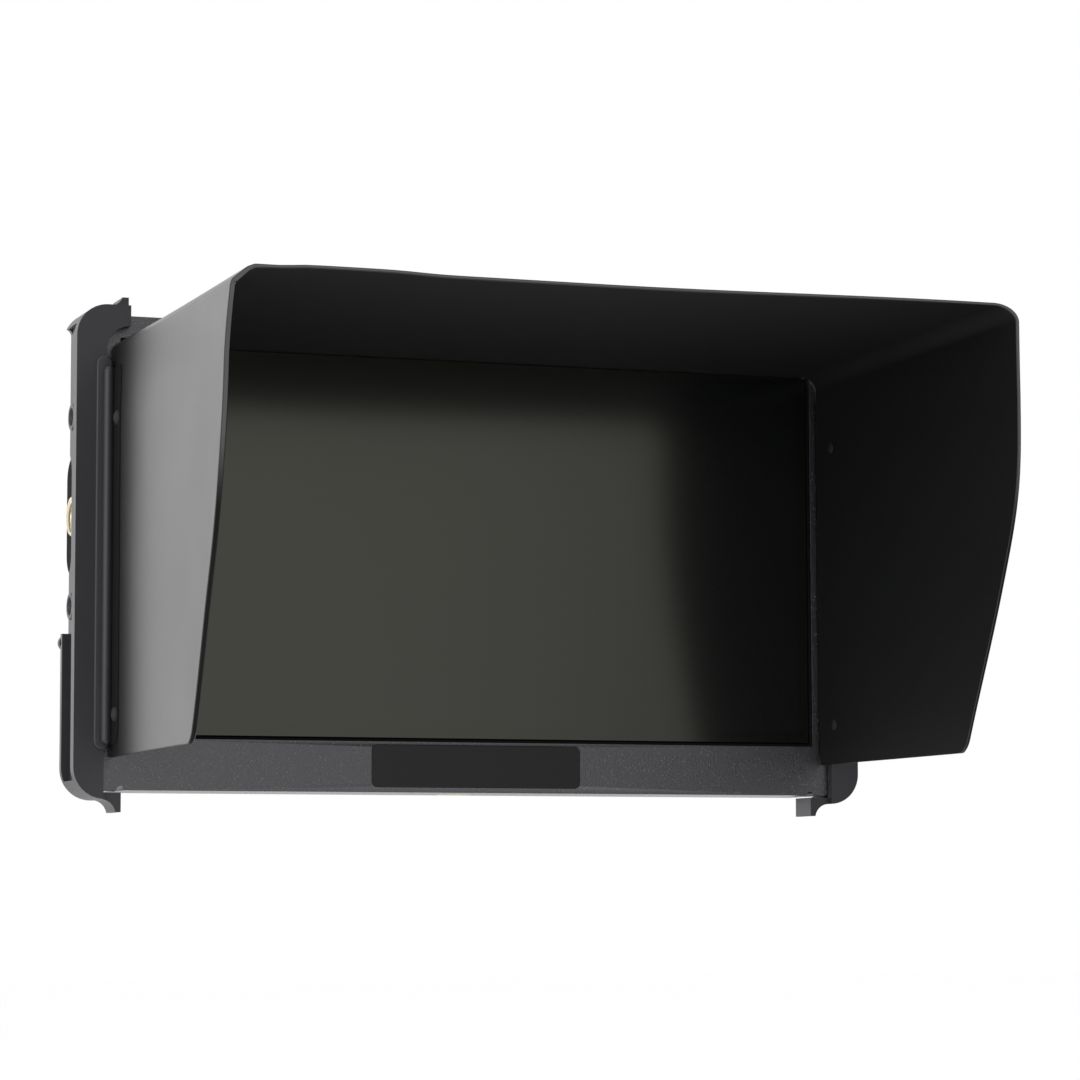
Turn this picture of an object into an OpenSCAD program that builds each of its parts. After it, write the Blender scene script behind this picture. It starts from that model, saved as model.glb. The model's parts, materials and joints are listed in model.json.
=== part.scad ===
// Camera field monitor with a clip-on sun hood.
// The screen faces -Y and +Z is up. The origin is the mouth of the thread under the monitor.

/* [Monitor body] */
// Width of the monitor body
body_w = 154; // [152:1:162]
// Height of the monitor body
body_h = 90; // [89:0.5:95]
// Depth of the monitor body, without the battery plate
body_d = 20; // [20:0.5:24]
// Thickness of the housing walls
wall = 1.8; // [1.6:0.1:2.2]
// Radius of the body corners and of the rear edges
corner_r = 3; // [2.4:0.1:3]

/* [Screen] */
// Width of the bezel strips beside the glass
side_strip = 6; // [6:0.1:7]
// Height of the bezel strip over the glass
top_strip = 4.7; // [4.6:0.1:6]
// Thickness of the cover glass
glass_t = 1.1; // [0.7:0.1:1.2]
// Height of the bezel strip under the glass
chin_h = 10.3; // [10.2:0.1:10.6]
// How far the glass lies behind the bezel face
glass_sink = 0.5; // [0.3:0.1:0.6]
// Width of the black seal line round the glass
seal_w = 0.5; // [0.3:0.1:0.7]
// Width of the black border beside the picture
picture_border = 10; // [9:0.5:14]

/* [Badge plate] */
// Width of the bare plate on the chin
badge_w = 42.8; // [20:0.1:60]
// Height of the bare plate on the chin
badge_h = 8.2; // [5:0.1:8.6]
// Height of the plate's centre above the bottom of the body
badge_z = 5.1; // [4.9:0.1:5.4]

/* [Side threads] */
// Height of the side threads above the middle of the body
side_thread_up = 7.7; // [6:0.1:9]
// Width of the boss round each side thread
boss_w = 8.4; // [8.2:0.1:8.6]
// How far the boss stands out of the side wall
boss_proud = 0.8; // [0.4:0.1:1.4]
// Outer diameter of the brass thread inserts
insert_d = 7.8; // [7:0.1:7.8]
// Diameter of the drilled wall inside the 1/4 inch inserts
thread_minor_d = 5.2; // [5:0.05:5.4]
// Depth of the threads
thread_len = 8; // [6:0.5:9]

/* [Sun hood] */
// Depth of the hood in front of the bezel face
hood_d = 86; // [70:1:110]
// Depth of the hood along its bottom edge
hood_low_d = 64.5; // [45:0.5:67]
// How far the hood's sides stand in from the sides of the body
hood_inset = 3.7; // [3.6:0.05:4]
// How far the hood's top lies under the top of the body
hood_drop = 4.9; // [4.8:0.1:5.6]
// Height of the hood's bottom edge above the bottom of the body
hood_low_z = 6; // [4:0.5:9]
// Height of the kink in the hood's front edge above the middle of the body
kink_up = 6; // [-8:0.5:12]
// Thickness of the hood sheet
hood_t = 0.9; // [0.6:0.1:1.6]
// Outer radius of the folds at the hood's top corners
fold_r = 3.6; // [3:0.1:4]
// How far each hood side leans outward towards the front, in degrees
flare = 0.8; // [0:0.1:1]
// How far the hood top rises towards the front, in degrees
rise = 0.5; // [0:0.1:1]

/* [Hood clips] */
// How far the clip stands in front of the bezel face
clip_proud = 2.3; // [2:0.1:2.8]
// How far the clip stands out beside the body
clip_side = 3.4; // [3.2:0.1:3.8]
// Width of the bezel edge that the clip covers
clip_cover = 2.4; // [2:0.1:3]
// Thickness of the clip's arms over the top and bottom of the body
arm_t = 1.3; // [1:0.1:1.6]
// Depth of the arms behind the bezel face
arm_d = 7; // [4:0.1:8]
// Depth of the clip's side web behind the bezel face
web_d = 9.4; // [9.2:0.1:10]
// Depth of the hollow in the clip's side web
web_hollow = 1.5; // [1:0.1:1.6]
// Gap between the arms and the top and bottom of the body
arm_gap = 0.4; // [0.35:0.05:0.5]
// Depth of the thin riveted leaf in front of the clip
leaf_d = 7.2; // [5:0.1:12]
// How far the rounded bead stands in front of the clip
bead_proud = 1.7; // [1:0.1:2.5]

/* [Keys] */
// Diameter of the round keys on top
key_d = 5; // [4:0.1:5]
// How far the keys stand out of the top
key_proud = 0.7; // [0.6:0.1:1.2]
// Travel of the keys
key_travel = 0.5; // [0.3:0.1:0.5]

/* [Battery plate] */
// Width of the battery that the plate takes
battery_w = 38.4; // [36:0.1:40]
// Length of the battery that the plate takes
battery_len = 70.8; // [68:0.1:71]
// Thickness of the plate behind the rear cover
plate_t = 2.6; // [2.4:0.1:3.2]
// Travel of the battery catch
catch_travel = 1.6; // [1:0.1:1.6]

/* [Hidden] */
$fn = 48;
e = 0.01;                              // lets cutters pass through faces
gap = 0.3;                             // between bodies that move past each other
fit = 0.02;                            // round a piece that is pressed or screwed in

half_w = body_w / 2;
mid_z = body_h / 2;
split_d = 0.43 * body_d;               // where the rear cover starts
thread_d = body_d - wall - insert_d / 2 - 0.3;
glass_w = body_w - 2 * side_strip;
glass_h = body_h - chin_h - top_strip;
glass_back = glass_sink + glass_t;     // depths are measured back from the bezel face
ledge_d = glass_back + 0.2;            // the ledge that carries the glass starts here
ledge_t = 1;
front_t = ledge_d + ledge_t;
ledge_w = 1.5;
glass_r = 1.5;
glass_mid_z = chin_h + glass_h / 2;

picture_w = min(glass_w - 2 * picture_border, (glass_h - 6.4) * 16 / 9);
picture_h = picture_w * 9 / 16;
cell_w = picture_w + 5.2;
cell_h = picture_h + 3;
cell_t = 1.4;
guide_t = 2;
tray_t = 0.8;
tray_rim = 1.2;
cell_back = glass_back + cell_t;
guide_back = cell_back + guide_t;
tray_back = guide_back + tray_t;
chassis_t = 1;
chassis_back = tray_back + chassis_t;
chassis_w = cell_w + 5;
chassis_h = cell_h - 1.6;
board_t = 1.2;
standoff = 1.6;
board_front = chassis_back + standoff;
board_back = board_front + board_t;
board_w = body_w - 2 * wall - 3.4;
board_z0 = glass_mid_z - cell_h / 2 + 0.4;
board_z1 = body_h - 11;
board_mid = (board_z0 + board_z1) / 2 + 7;

screw_r = 1;                           // M2 screws
head_r = 1.9;
head_t = 1.2;
cover_screw_x = half_w - 6;
cover_screw_z = 5.6;
cover_boss_r = 2.4;
chassis_screw_x = half_w - wall - 3.2;
chassis_screw_z = [mid_z - 23, mid_z + 29];
chassis_boss_r = 2.2;
board_screw_x = chassis_w / 2 - 11;
board_screw_z = [glass_mid_z - 28, glass_mid_z + 22];
chip_size = 18;
chip_t = 1.5;
sink_w = 40;
sink_h = 34;
sink_fins = 9;
sink_back = body_d - wall - 1;
can_x = 28;
can_w = 22;
can_h = 20;
can_t = 2.6;

side_thread_z = mid_z + side_thread_up;
boss_len = body_h / 4;
block_x = 8;                           // how far a side block reaches into the body
block_end = 2.5;                       // how far it reaches past its boss, inside
boss_d = 0.61 * body_d;                // depth of the boss axis
insert_proud = 0.3;
insert_len = thread_len + 1.5;

port_x = -half_w + 0.15;                // outer end of the left sockets
shell_t = 0.5;
tongue_t = 1;
hdmi_w = 15;
hdmi_t = 5.6;
hdmi_len = 11.4;
socket_mid = board_back + hdmi_t / 2;
usb_w = 9.2;
usb_t = 3.4;
usb_len = 9;
usb_d = board_back + usb_t / 2;
dc_z = side_thread_z - boss_len / 2 - block_end - 5;
usb_z = dc_z;
hdmi_z = dc_z - 15;
dc_r = 3.25;
dc_len = 12;
dc_pin_r = 1;
dc_d = board_back + dc_r;
phone_z = body_h - 17;
phone_r = 2.9;
phone_len = 13;
phone_bore = 3.6;
phone_d = board_back + phone_r + 0.2;
port_gap = 0.2;

key_x = [-40, -30, -20, 40];
key_depth = 0.675 * body_d;
key_board_w = 92;
key_board_d = 6.6;
flange_t = 0.9;
flange_r = key_d / 2 + 0.8;
flange_top = body_h - wall - gap;
switch_gap = key_travel + 0.2;
switch_t = 0.9;
switch_top = flange_top - flange_t - switch_gap;
key_board_t = 1;

battery_gap = 0.4;
rail_t = 1.6;
rail_h = 2.9;
lip_w = 1.2;
lip_t = 1;
stop_h = 5;                            // the contact block that the battery rests on
catch_w = 10;
catch_h = 3.8;
catch_rise = 1.4;
plate_w = battery_w + 2 * battery_gap + 2 * rail_t;
plate_h = stop_h + battery_len + catch_h + 3;
plate_z = (body_h - plate_h) / 2;
plate_screw_x = plate_w / 2 - 7;
plate_screw_z = [plate_z + stop_h + 8, plate_z + plate_h - 12];
catch_z = plate_z + stop_h + battery_len + 0.4 + catch_h / 2;
catch_body = 3.6;                      // depth of the catch inside the housing
spring_r = 1.1;
spring_wire = 0.4;
spring_h = 4.5;                        // from the guide's floor to the end of the catch's bore

clip_x = half_w + clip_side;           // outer face of the clip
clip_inner_x = half_w - clip_cover;    // inner edge of its face plate
clip_z = arm_gap + arm_t;              // above the top and below the bottom of the body
clip_r = corner_r + clip_side - 0.4;
hood_w = body_w - 2 * hood_inset;      // outer width of the hood at the bezel face
hood_z = body_h - hood_drop;
kink_z = mid_z + kink_up;
web_in = half_w + gap;
hollow_x = clip_x - web_hollow;
plate_back = -gap;                     // depth of the face plate's back
arm_top_x = half_w - 7;
arm_low_x = half_w - 6.2;
cut_r = 4.6;                           // round cut in the face plate beside the hood's fold
tail_top = 1.8;
tail_low = 2.4;
tail_r = 2.9;
flange_d = web_d - 1.4;                // front face of the rear flange
flange_low_z = mid_z - 15.2;
flange_high_z = mid_z + 43.4;
hollow_z = [1.8, body_h - 1.8];
web_hole_r = 2.8;
web_hole_d = 4;
web_hole_z = [side_thread_z - 18, side_thread_z + 18];
leaf_t = 0.6;
leaf_z = [mid_z - 36.6, hood_z - fold_r - 2];
bead_w = 1.6;
groove_w = 1.2;
groove_depth = 0.8;
groove_z = [leaf_z[0] - 0.8, leaf_z[1] + 2.4];
rivet_z = [leaf_z[0] + 5.5, leaf_z[1] - 10];
rivet_s = clip_proud + leaf_d / 2 + 1.4;
rivet_r = 0.9;
rivet_head_r = 1.4;
rivet_head_t = 0.5;
hood_gap = 0.8;                        // between the hood's rear edge and the bezel face
fold_gap = 0.3;

function at(d) = d - thread_d;         // Y of a depth behind the bezel face

// ---------- shared shapes ----------

module round_rect(w, h, r) {
    square([w - 2 * r, h], center = true);
    square([w, h - 2 * r], center = true);
    for (x = [-1, 1], y = [-1, 1])
        translate([x * (w / 2 - r), y * (h / 2 - r)]) circle(r = r);
}

module stadium(len, w) {
    square([len - w, w], center = true);
    for (x = [-1, 1]) translate([x * (len - w) / 2, 0]) circle(d = w);
}

// Extrudes an outline drawn in X and Z between two depths
module between(d0, d1) {
    translate([0, at(d1), 0]) rotate([90, 0, 0]) linear_extrude(d1 - d0) children();
}

// Rounded slab that stands on z0
module slab(w, h, r, d0, d1, z0 = 0) {
    between(d0, d1) translate([0, z0 + h / 2]) round_rect(w, h, r);
}

module block(x0, x1, d0, d1, z0, z1) {
    translate([x0, at(d0), z0]) cube([x1 - x0, d1 - d0, z1 - z0]);
}

// Rod along the depth
module rod(x, z, r, d0, d1) {
    translate([x, at(d1), z]) rotate([90, 0, 0]) cylinder(r = r, h = d1 - d0);
}

// Rod along X between two X values
module side_rod(x0, x1, d, z, r) {
    translate([x0, at(d), z]) rotate([0, 90, 0]) cylinder(r = r, h = x1 - x0);
}

// Stadium along Z, extruded along X
module side_stadium(x0, x1, d, z, len, w) {
    translate([x0, at(d), z]) rotate([90, 0, 90]) linear_extrude(x1 - x0)
        rotate(90) stadium(len, w);
}

// Profile with its two rear corners rounded: depth along X, length along Y
module rear_round(len, d0, d1, r) {
    translate([at(d0), 0]) square([d1 - r - d0, len]);
    translate([at(d0), r]) square([d1 - d0, len - 2 * r]);
    for (y = [r, len - r]) translate([at(d1 - r), y]) circle(r = r);
}

// Block with rounded corners and rounded rear edges
module soft_back(w, h, d0, d1, r, z0 = 0) {
    intersection() {
        slab(w, h, r, d0, d1, z0);
        translate([-w / 2, 0, z0]) rotate([90, 0, 90]) linear_extrude(w) rear_round(h, d0, d1, r);
        translate([0, 0, z0]) linear_extrude(h)
            rotate(90) translate([0, -w / 2]) rear_round(w, d0, d1, r);
    }
}

module mirrored() {
    children();
    mirror([1, 0, 0]) children();
}

module pan_screw(x, z, head_d, tip_d) {
    rod(x, z, head_r, head_d, head_d + head_t);
    rod(x, z, screw_r, tip_d, head_d + e);
}

// ---------- monitor: front ----------

module side_boss_cut() {
    side_stadium(half_w - 3 * wall, half_w + 1, boss_d, side_thread_z, boss_len + 2 * fit,
        boss_w + 2 * fit);
}

module front_bezel() color("#454547") {
    difference() {
        slab(body_w, body_h, corner_r, 0, split_d);
        slab(body_w - 2 * wall, body_h - 2 * wall, corner_r - wall, front_t, split_d + 1, wall);
        slab(glass_w + 2 * seal_w, glass_h + 2 * seal_w, glass_r + seal_w, -1, ledge_d, chin_h - seal_w);
        slab(glass_w - 2 * ledge_w, glass_h - 2 * ledge_w, glass_r, 0, front_t + 1, chin_h + ledge_w);
        slab(badge_w + 2 * fit, badge_h + 2 * fit, 1.2, -1, 0.6, badge_z - badge_h / 2 - fit);
        mirrored() rod(half_w - 6.2, 0, 0.75, -1, split_d + 1);
        mirrored() side_boss_cut();
    }
    mirrored() {
        for (z = [cover_screw_z, body_h - cover_screw_z])
            front_boss(cover_screw_x, z, cover_boss_r, split_d);
        for (z = chassis_screw_z) front_boss(chassis_screw_x, z, chassis_boss_r, tray_back);
    }
}

// Screw boss that stands on the back of the bezel wall
module front_boss(x, z, r, end_d) {
    difference() {
        rod(x, z, r, front_t - e, end_d);
        rod(x, z, screw_r + fit, front_t + 0.4, end_d + 1);
    }
}

module cover_glass() color("#20211f")
    slab(glass_w, glass_h, glass_r, glass_sink, glass_back, chin_h);

module glass_seal() color("#0c0c0d") difference() {
    slab(glass_w + 2 * seal_w, glass_h + 2 * seal_w, glass_r + seal_w, glass_sink + 0.1, ledge_d,
        chin_h - seal_w);
    slab(glass_w, glass_h, glass_r, 0, glass_back, chin_h);
    slab(glass_w - 2 * ledge_w, glass_h - 2 * ledge_w, glass_r, 0, ledge_d + 1, chin_h + ledge_w);
}

module badge_plate() color("#1c1c1d")
    slab(badge_w, badge_h, 1.2, -0.12, 0.6, badge_z - badge_h / 2);

module lcd_cell() color("#101114")
    slab(cell_w, cell_h, 0.5, glass_back, cell_back, glass_mid_z - cell_h / 2);

module light_guide() color("#e8eef0")
    slab(cell_w - 2 * tray_rim, cell_h - 2 * tray_rim, 0.5, cell_back, guide_back,
        glass_mid_z - cell_h / 2 + tray_rim);

module backlight_tray() color("#c9ccce") difference() {
    slab(cell_w, cell_h, 0.5, cell_back, tray_back, glass_mid_z - cell_h / 2);
    slab(cell_w - 2 * tray_rim, cell_h - 2 * tray_rim, 0.5, cell_back - 1, guide_back,
        glass_mid_z - cell_h / 2 + tray_rim);
}

module chassis_frame() color("#a9adb0") difference() {
    union() {
        slab(chassis_w, chassis_h, 2, tray_back, chassis_back, glass_mid_z - chassis_h / 2);
        mirrored() for (z = chassis_screw_z)
            block(chassis_w / 2 - 4, chassis_screw_x + 2, tray_back, chassis_back, z - 4, z + 4);
        mirrored() for (z = board_screw_z) rod(board_screw_x, z, 2, tray_back, board_front);
    }
    mirrored() for (z = chassis_screw_z)
        rod(chassis_screw_x, z, screw_r + fit, tray_back - 1, chassis_back + 1);
    mirrored() for (z = board_screw_z)
        rod(board_screw_x, z, screw_r + fit, tray_back + 0.3, board_front + 1);
}

module chassis_screws() color("#8e9194")
    mirrored() for (z = chassis_screw_z) pan_screw(chassis_screw_x, z, chassis_back, front_t + 0.6);

// ---------- monitor: electronics ----------

module main_board() color("#1d5a3a") difference() {
    block(-board_w / 2, board_w / 2, board_front, board_back, board_z0, board_z1);
    mirrored() block(half_w - block_x - 1, half_w, board_front - 1, board_back + 1,
        side_thread_z - boss_len / 2 - block_end - 1, side_thread_z + boss_len / 2 + block_end + 1);
    mirrored() for (z = board_screw_z)
        rod(board_screw_x, z, screw_r + fit, board_front - 1, board_back + 1);
    mirrored() for (z = chassis_screw_z)
        rod(chassis_screw_x, z, head_r + 0.3, board_front - 1, board_back + 1);
}

module board_screws() color("#8e9194")
    mirrored() for (z = board_screw_z) pan_screw(board_screw_x, z, board_back, tray_back + 0.5);

module processor() color("#26272a")
    block(-chip_size / 2, chip_size / 2, board_back, board_back + chip_t, board_mid - chip_size / 2,
        board_mid + chip_size / 2);

module heat_sink() color("#9da1a5") {
    base_d = board_back + chip_t;
    fin_t = 1.4;
    block(-sink_w / 2, sink_w / 2, base_d, base_d + 1.2, board_mid - sink_h / 2, board_mid + sink_h / 2);
    for (i = [0:sink_fins - 1]) {
        x = -sink_w / 2 + i * (sink_w - fin_t) / (sink_fins - 1);
        block(x, x + fin_t, base_d + 1.2 - e, sink_back, board_mid - sink_h / 2, board_mid + sink_h / 2);
    }
}

module shield_can() color("#b9bcbf") difference() {
    tin = 0.4;
    z = board_mid - can_h / 2;
    block(can_x, can_x + can_w, board_back, board_back + can_t, z, z + can_h);
    block(can_x + tin, can_x + can_w - tin, board_back - 1, board_back + can_t - tin, z + tin,
        z + can_h - tin);
}

// Flat cable that runs from the light unit under the chassis to the back of the board
module panel_ribbon() color("#c27a2c") {
    low = glass_mid_z - cell_h / 2 - 0.25;
    block(-15, 15, cell_back, board_back + 0.25, low, low + 0.25);
    block(-15, 15, board_back, board_back + 0.25, low + e, board_z0 + 6);
}

module hdmi_socket() color("#b4b7ba") {
    tongue_w = hdmi_w - 3.8;
    difference() {
        block(port_x, port_x + hdmi_len, board_back, board_back + hdmi_t, hdmi_z - hdmi_w / 2,
            hdmi_z + hdmi_w / 2);
        block(port_x - 1, port_x + hdmi_len - 1, board_back + shell_t, board_back + hdmi_t - shell_t,
            hdmi_z - hdmi_w / 2 + shell_t, hdmi_z + hdmi_w / 2 - shell_t);
    }
    block(port_x + 1, port_x + hdmi_len - 1 + e, socket_mid - tongue_t / 2, socket_mid + tongue_t / 2,
        hdmi_z - tongue_w / 2, hdmi_z + tongue_w / 2);
}

module hdmi_in_socket() hdmi_socket();
module hdmi_out_socket() mirror([1, 0, 0]) hdmi_socket();

module usb_socket() color("#b4b7ba") mirror([1, 0, 0]) {
    difference() {
        side_stadium(port_x, port_x + usb_len, usb_d, usb_z, usb_w, usb_t);
        side_stadium(port_x - 1, port_x + usb_len - 1, usb_d, usb_z, usb_w - 2 * shell_t,
            usb_t - 2 * shell_t);
    }
    block(port_x + 0.6, port_x + usb_len - 1 + e, usb_d - tongue_t / 3, usb_d + tongue_t / 3,
        usb_z - usb_w / 2 + 1.4, usb_z + usb_w / 2 - 1.4);
}

module dc_jack() color("#202124") {
    difference() {
        side_rod(port_x, port_x + dc_len, dc_d, dc_z, dc_r);
        side_rod(port_x - 1, port_x + dc_len - 1.5, dc_d, dc_z, dc_r - 0.6);
    }
    side_rod(port_x + 1.4, port_x + dc_len - 1.5 + e, dc_d, dc_z, dc_pin_r);
}

module headphone_jack() color("#202124") mirror([1, 0, 0]) {
    difference() {
        union() {
            side_rod(port_x, port_x + 4, phone_d, phone_z, phone_r);
            block(port_x + 3, port_x + phone_len, board_back, phone_d + phone_r, phone_z - phone_r,
                phone_z + phone_r);
        }
        side_rod(port_x - 1, port_x + phone_len - 1, phone_d, phone_z, phone_bore / 2);
    }
}

// ---------- monitor: rear ----------

module rear_cover() color("#3c3c3e") difference() {
    union() {
        difference() {
            soft_back(body_w, body_h, split_d, body_d, corner_r);
            soft_back(body_w - 2 * wall, body_h - 2 * wall, split_d - 1, body_d - wall,
                corner_r - wall, wall);
        }
        mirrored() for (z = [cover_screw_z, body_h - cover_screw_z])
            rod(cover_screw_x, z, cover_boss_r, split_d, body_d - wall + e);
        for (x = [-35, 35]) block(x - 3, x + 3, key_depth + key_board_d / 2 + 0.1, body_d - wall + e,
            switch_top - switch_t - key_board_t - 1, body_h - wall + e);
        catch_guide();
    }
    mirrored() for (z = [cover_screw_z, body_h - cover_screw_z]) {
        rod(cover_screw_x, z, screw_r + 0.2, split_d - 1, body_d + 1);
        rod(cover_screw_x, z, head_r + 0.3, body_d - head_t - 0.5, body_d + 1);
    }
    mirrored() for (z = plate_screw_z) rod(plate_screw_x, z, screw_r + fit, body_d - 2 * wall, body_d + 1);
    mirrored() side_boss_cut();
    mirrored() vents();
    for (x = key_x) translate([x, at(key_depth), body_h - wall - 1])
        cylinder(d = key_d + 2 * 0.15, h = wall + 2);
    translate([0, 0, -1]) cylinder(d = insert_d + 2 * fit, h = insert_len + 2);
    catch_cut(body_d - wall - catch_body - 1, body_d + 1, gap);
    mirrored() hdmi_hole();
    mirror([1, 0, 0]) side_stadium(-half_w - 1, -half_w + wall + 1, usb_d, usb_z,
        usb_w + 2 * port_gap, usb_t + 2 * port_gap);
    side_rod(-half_w - 1, -half_w + wall + 1, dc_d, dc_z, dc_r + port_gap);
    side_rod(half_w - wall - 1, half_w + 1, phone_d, phone_z, phone_r + port_gap);
}

module hdmi_hole()
    block(-half_w - 1, -half_w + wall + 1, board_back - port_gap, board_back + hdmi_t + port_gap,
        hdmi_z - hdmi_w / 2 - port_gap, hdmi_z + hdmi_w / 2 + port_gap);

// Upright cooling slots beside the battery plate
module vents() for (i = [0:6])
    between(body_d - wall - 1, body_d + 1)
        translate([plate_w / 2 + 10 + i * 4.6, mid_z + 4]) rotate(90) stadium(0.38 * body_h, 1.6);

module cover_screws() color("#77797c")
    mirrored() for (z = [cover_screw_z, body_h - cover_screw_z])
        pan_screw(cover_screw_x, z, body_d - head_t - 0.5, front_t + 0.6);

module mount_block() color("#2a2a2c") difference() {
    union() {
        side_stadium(-half_w - boss_proud, -half_w + block_x, boss_d, side_thread_z, boss_len, boss_w);
        block(-half_w + wall + fit, -half_w + block_x, boss_d - boss_w / 2, boss_d + boss_w / 2,
            side_thread_z - boss_len / 2 - block_end, side_thread_z + boss_len / 2 + block_end);
    }
    side_rod(-half_w - boss_proud - 1, -half_w + block_x + 1, boss_d, side_thread_z,
        insert_d / 2 + fit);
}

module left_mount_block() mount_block();
module right_mount_block() mirror([1, 0, 0]) mount_block();

module bottom_mount_block() color("#2a2a2c") difference() {
    intersection() {
        block(-insert_d * 1.5, insert_d * 1.5, thread_d - insert_d / 2 - 0.3, body_d, 0,
            wall + thread_len + 1);
        soft_back(body_w - 2 * wall, body_h - 2 * wall, front_t, body_d - wall, corner_r - wall, wall);
    }
    cylinder(d = insert_d + 2 * fit, h = 3 * thread_len);
}

// Brass insert that stands on z = 0 with its mouth facing down
module thread_insert() color("#b8934a") difference() {
    cylinder(d = insert_d, h = insert_len);
    translate([0, 0, -1]) cylinder(d = thread_minor_d, h = thread_len + 1);
}

module side_insert()
    translate([-half_w - boss_proud - insert_proud, at(boss_d), side_thread_z]) rotate([0, 90, 0])
        thread_insert();

module left_thread_insert() side_insert();
module right_thread_insert() mirror([1, 0, 0]) side_insert();
module bottom_thread_insert() thread_insert();

// ---------- keys ----------

module key_board() color("#1d5a3a") difference() {
    block(-key_board_w / 2, key_board_w / 2, key_depth - key_board_d / 2, key_depth + key_board_d / 2,
        switch_top - switch_t - key_board_t, switch_top - switch_t);
    block(-catch_w, catch_w, key_depth - key_board_d / 2 + 1.2, key_depth + key_board_d, mid_z, body_h);
}

module key_switches() color("#33353a") for (x = key_x) {
    block(x - 2.1, x + 2.1, key_depth - 2.1, key_depth + 2.1, switch_top - switch_t, switch_top - 0.3);
    translate([x, at(key_depth), switch_top - 0.3 - e]) cylinder(d = 2.2, h = 0.3 + e);
}

module key_cap(x) translate([x, at(key_depth), 0]) {
    translate([0, 0, flange_top - flange_t]) cylinder(r = flange_r, h = flange_t);
    translate([0, 0, flange_top - e]) cylinder(d = key_d, h = body_h + key_proud - flange_top - 0.3);
    translate([0, 0, body_h + key_proud - 0.3 - e]) cylinder(d1 = key_d, d2 = key_d - 0.6, h = 0.3 + e);
}

module menu_button() color("#26262a") key_cap(key_x[0]);
module left_button() color("#26262a") key_cap(key_x[1]);
module right_button() color("#26262a") key_cap(key_x[2]);
module power_button() color("#26262a") key_cap(key_x[3]);

// ---------- battery plate ----------

module battery_plate() color("#2b2b2d") difference() {
    union() {
        slab(plate_w, plate_h, 2.5, body_d, body_d + plate_t, plate_z);
        mirrored() {
            block(plate_w / 2 - rail_t, plate_w / 2, body_d + 1, body_d + plate_t + rail_h,
                plate_z + stop_h, plate_z + stop_h + battery_len - 6);
            for (z = [plate_z + stop_h + 2, plate_z + stop_h + battery_len / 2])
                block(plate_w / 2 - rail_t - lip_w, plate_w / 2 - e, body_d + plate_t + rail_h - lip_t,
                    body_d + plate_t + rail_h, z, z + battery_len / 2 - 10);
        }
        block(-plate_w / 2 + 2, plate_w / 2 - 2, body_d + 1, body_d + plate_t + rail_h, plate_z + 0.5,
            plate_z + stop_h);
    }
    mirrored() for (z = plate_screw_z) {
        rod(plate_screw_x, z, screw_r + 0.1, body_d - 1, body_d + 5);
        rod(plate_screw_x, z, head_r + 0.2, body_d + plate_t - head_t - 0.1, body_d + plate_t + 1);
    }
    catch_cut(body_d - 1, body_d + plate_t + 1, gap);
    for (x = [-8, 0, 8]) block(x - 1.5, x + 1.5, body_d + plate_t + 0.6, body_d + plate_t + 2.4,
        plate_z + stop_h - 1.2, plate_z + stop_h + 1);
}

module battery_plate_screws() color("#77797c")
    mirrored() for (z = plate_screw_z)
        pan_screw(plate_screw_x, z, body_d + plate_t - head_t - 0.1, body_d - wall);

module battery_contacts() color("#c9a24e")
    for (x = [-8, 0, 8]) block(x - 1.2, x + 1.2, body_d + plate_t + 1, body_d + plate_t + 2,
        plate_z + stop_h - 1.2, plate_z + stop_h + 2.2);

module catch_cut(d0, d1, room)
    between(d0, d1) translate([0, catch_z]) stadium(catch_w + 2 * room, catch_h + 2 * room);

// Pocket behind the rear wall that guides the catch and holds its spring
module catch_guide() difference() {
    between(body_d - wall - catch_body - 1.2 - catch_travel, body_d - wall + e) translate([0, catch_z])
        stadium(catch_w + 2 * gap + 2.4, catch_h + 2 * gap + 2.4);
    catch_cut(body_d - wall - catch_body - catch_travel, body_d, gap);
}

module battery_catch() color("#5b5d60") difference() {
    catch_cut(body_d - wall - catch_body + 0.5, body_d + plate_t + catch_rise, 0);
    rod(0, catch_z, spring_r + 0.5, body_d - wall - catch_body - 1,
        body_d - wall - catch_body - catch_travel + spring_h);
}

// Ring of the spring's wire, as points round the path at turn angle a
function wire_ring(a, turns) = [for (k = [0:5])
    let (r = spring_r - spring_wire / 2 + spring_wire / 2 * cos(60 * k))
    [r * cos(a), r * sin(a),
     spring_wire / 2 + (spring_h - spring_wire) * a / (360 * turns) + spring_wire / 2 * sin(60 * k)]];

module catch_spring() color("#b6babd") {
    turns = 4;
    steps = 12 * turns;
    points = [for (i = [0:steps]) each wire_ring(360 * turns * i / steps, turns)];
    sides = [for (i = [0:steps - 1], k = [0:5], half = [0, 1])
        let (a = 6 * i + k, b = 6 * i + (k + 1) % 6) half == 0 ? [a, b, a + 6] : [b, b + 6, a + 6]];
    caps = [[5, 4, 3, 2, 1, 0], [for (k = [0:5]) 6 * steps + k]];
    translate([0, at(body_d - wall - catch_body - catch_travel), catch_z]) rotate([-90, 0, 0])
        polyhedron(points, concat(sides, caps));
}

// ---------- sun hood ----------

// The hood's own frame: origin on the outer top face at the bezel, leaning by rise
module hood_frame() translate([0, at(0), hood_z]) rotate([-rise, 0, 0]) children();

// Frame of the left side: its outer face lies in the plane x = 0
module side_frame() hood_frame() translate([-hood_w / 2, 0, 0]) rotate([0, 0, -flare]) children();

// A point at distance s in front of the bezel and height z over the body's bottom, in that frame
function hood_point(s, z) = let (h = z - hood_z)
    [-(s * cos(rise) + h * sin(rise)), -s * sin(rise) + h * cos(rise)];

// Outline drawn with hood_point, extruded from the outer face inward between two X values
module side_sheet(x0, x1)
    translate([x0, 0, 0]) rotate([90, 0, 90]) linear_extrude(x1 - x0) children();

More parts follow.
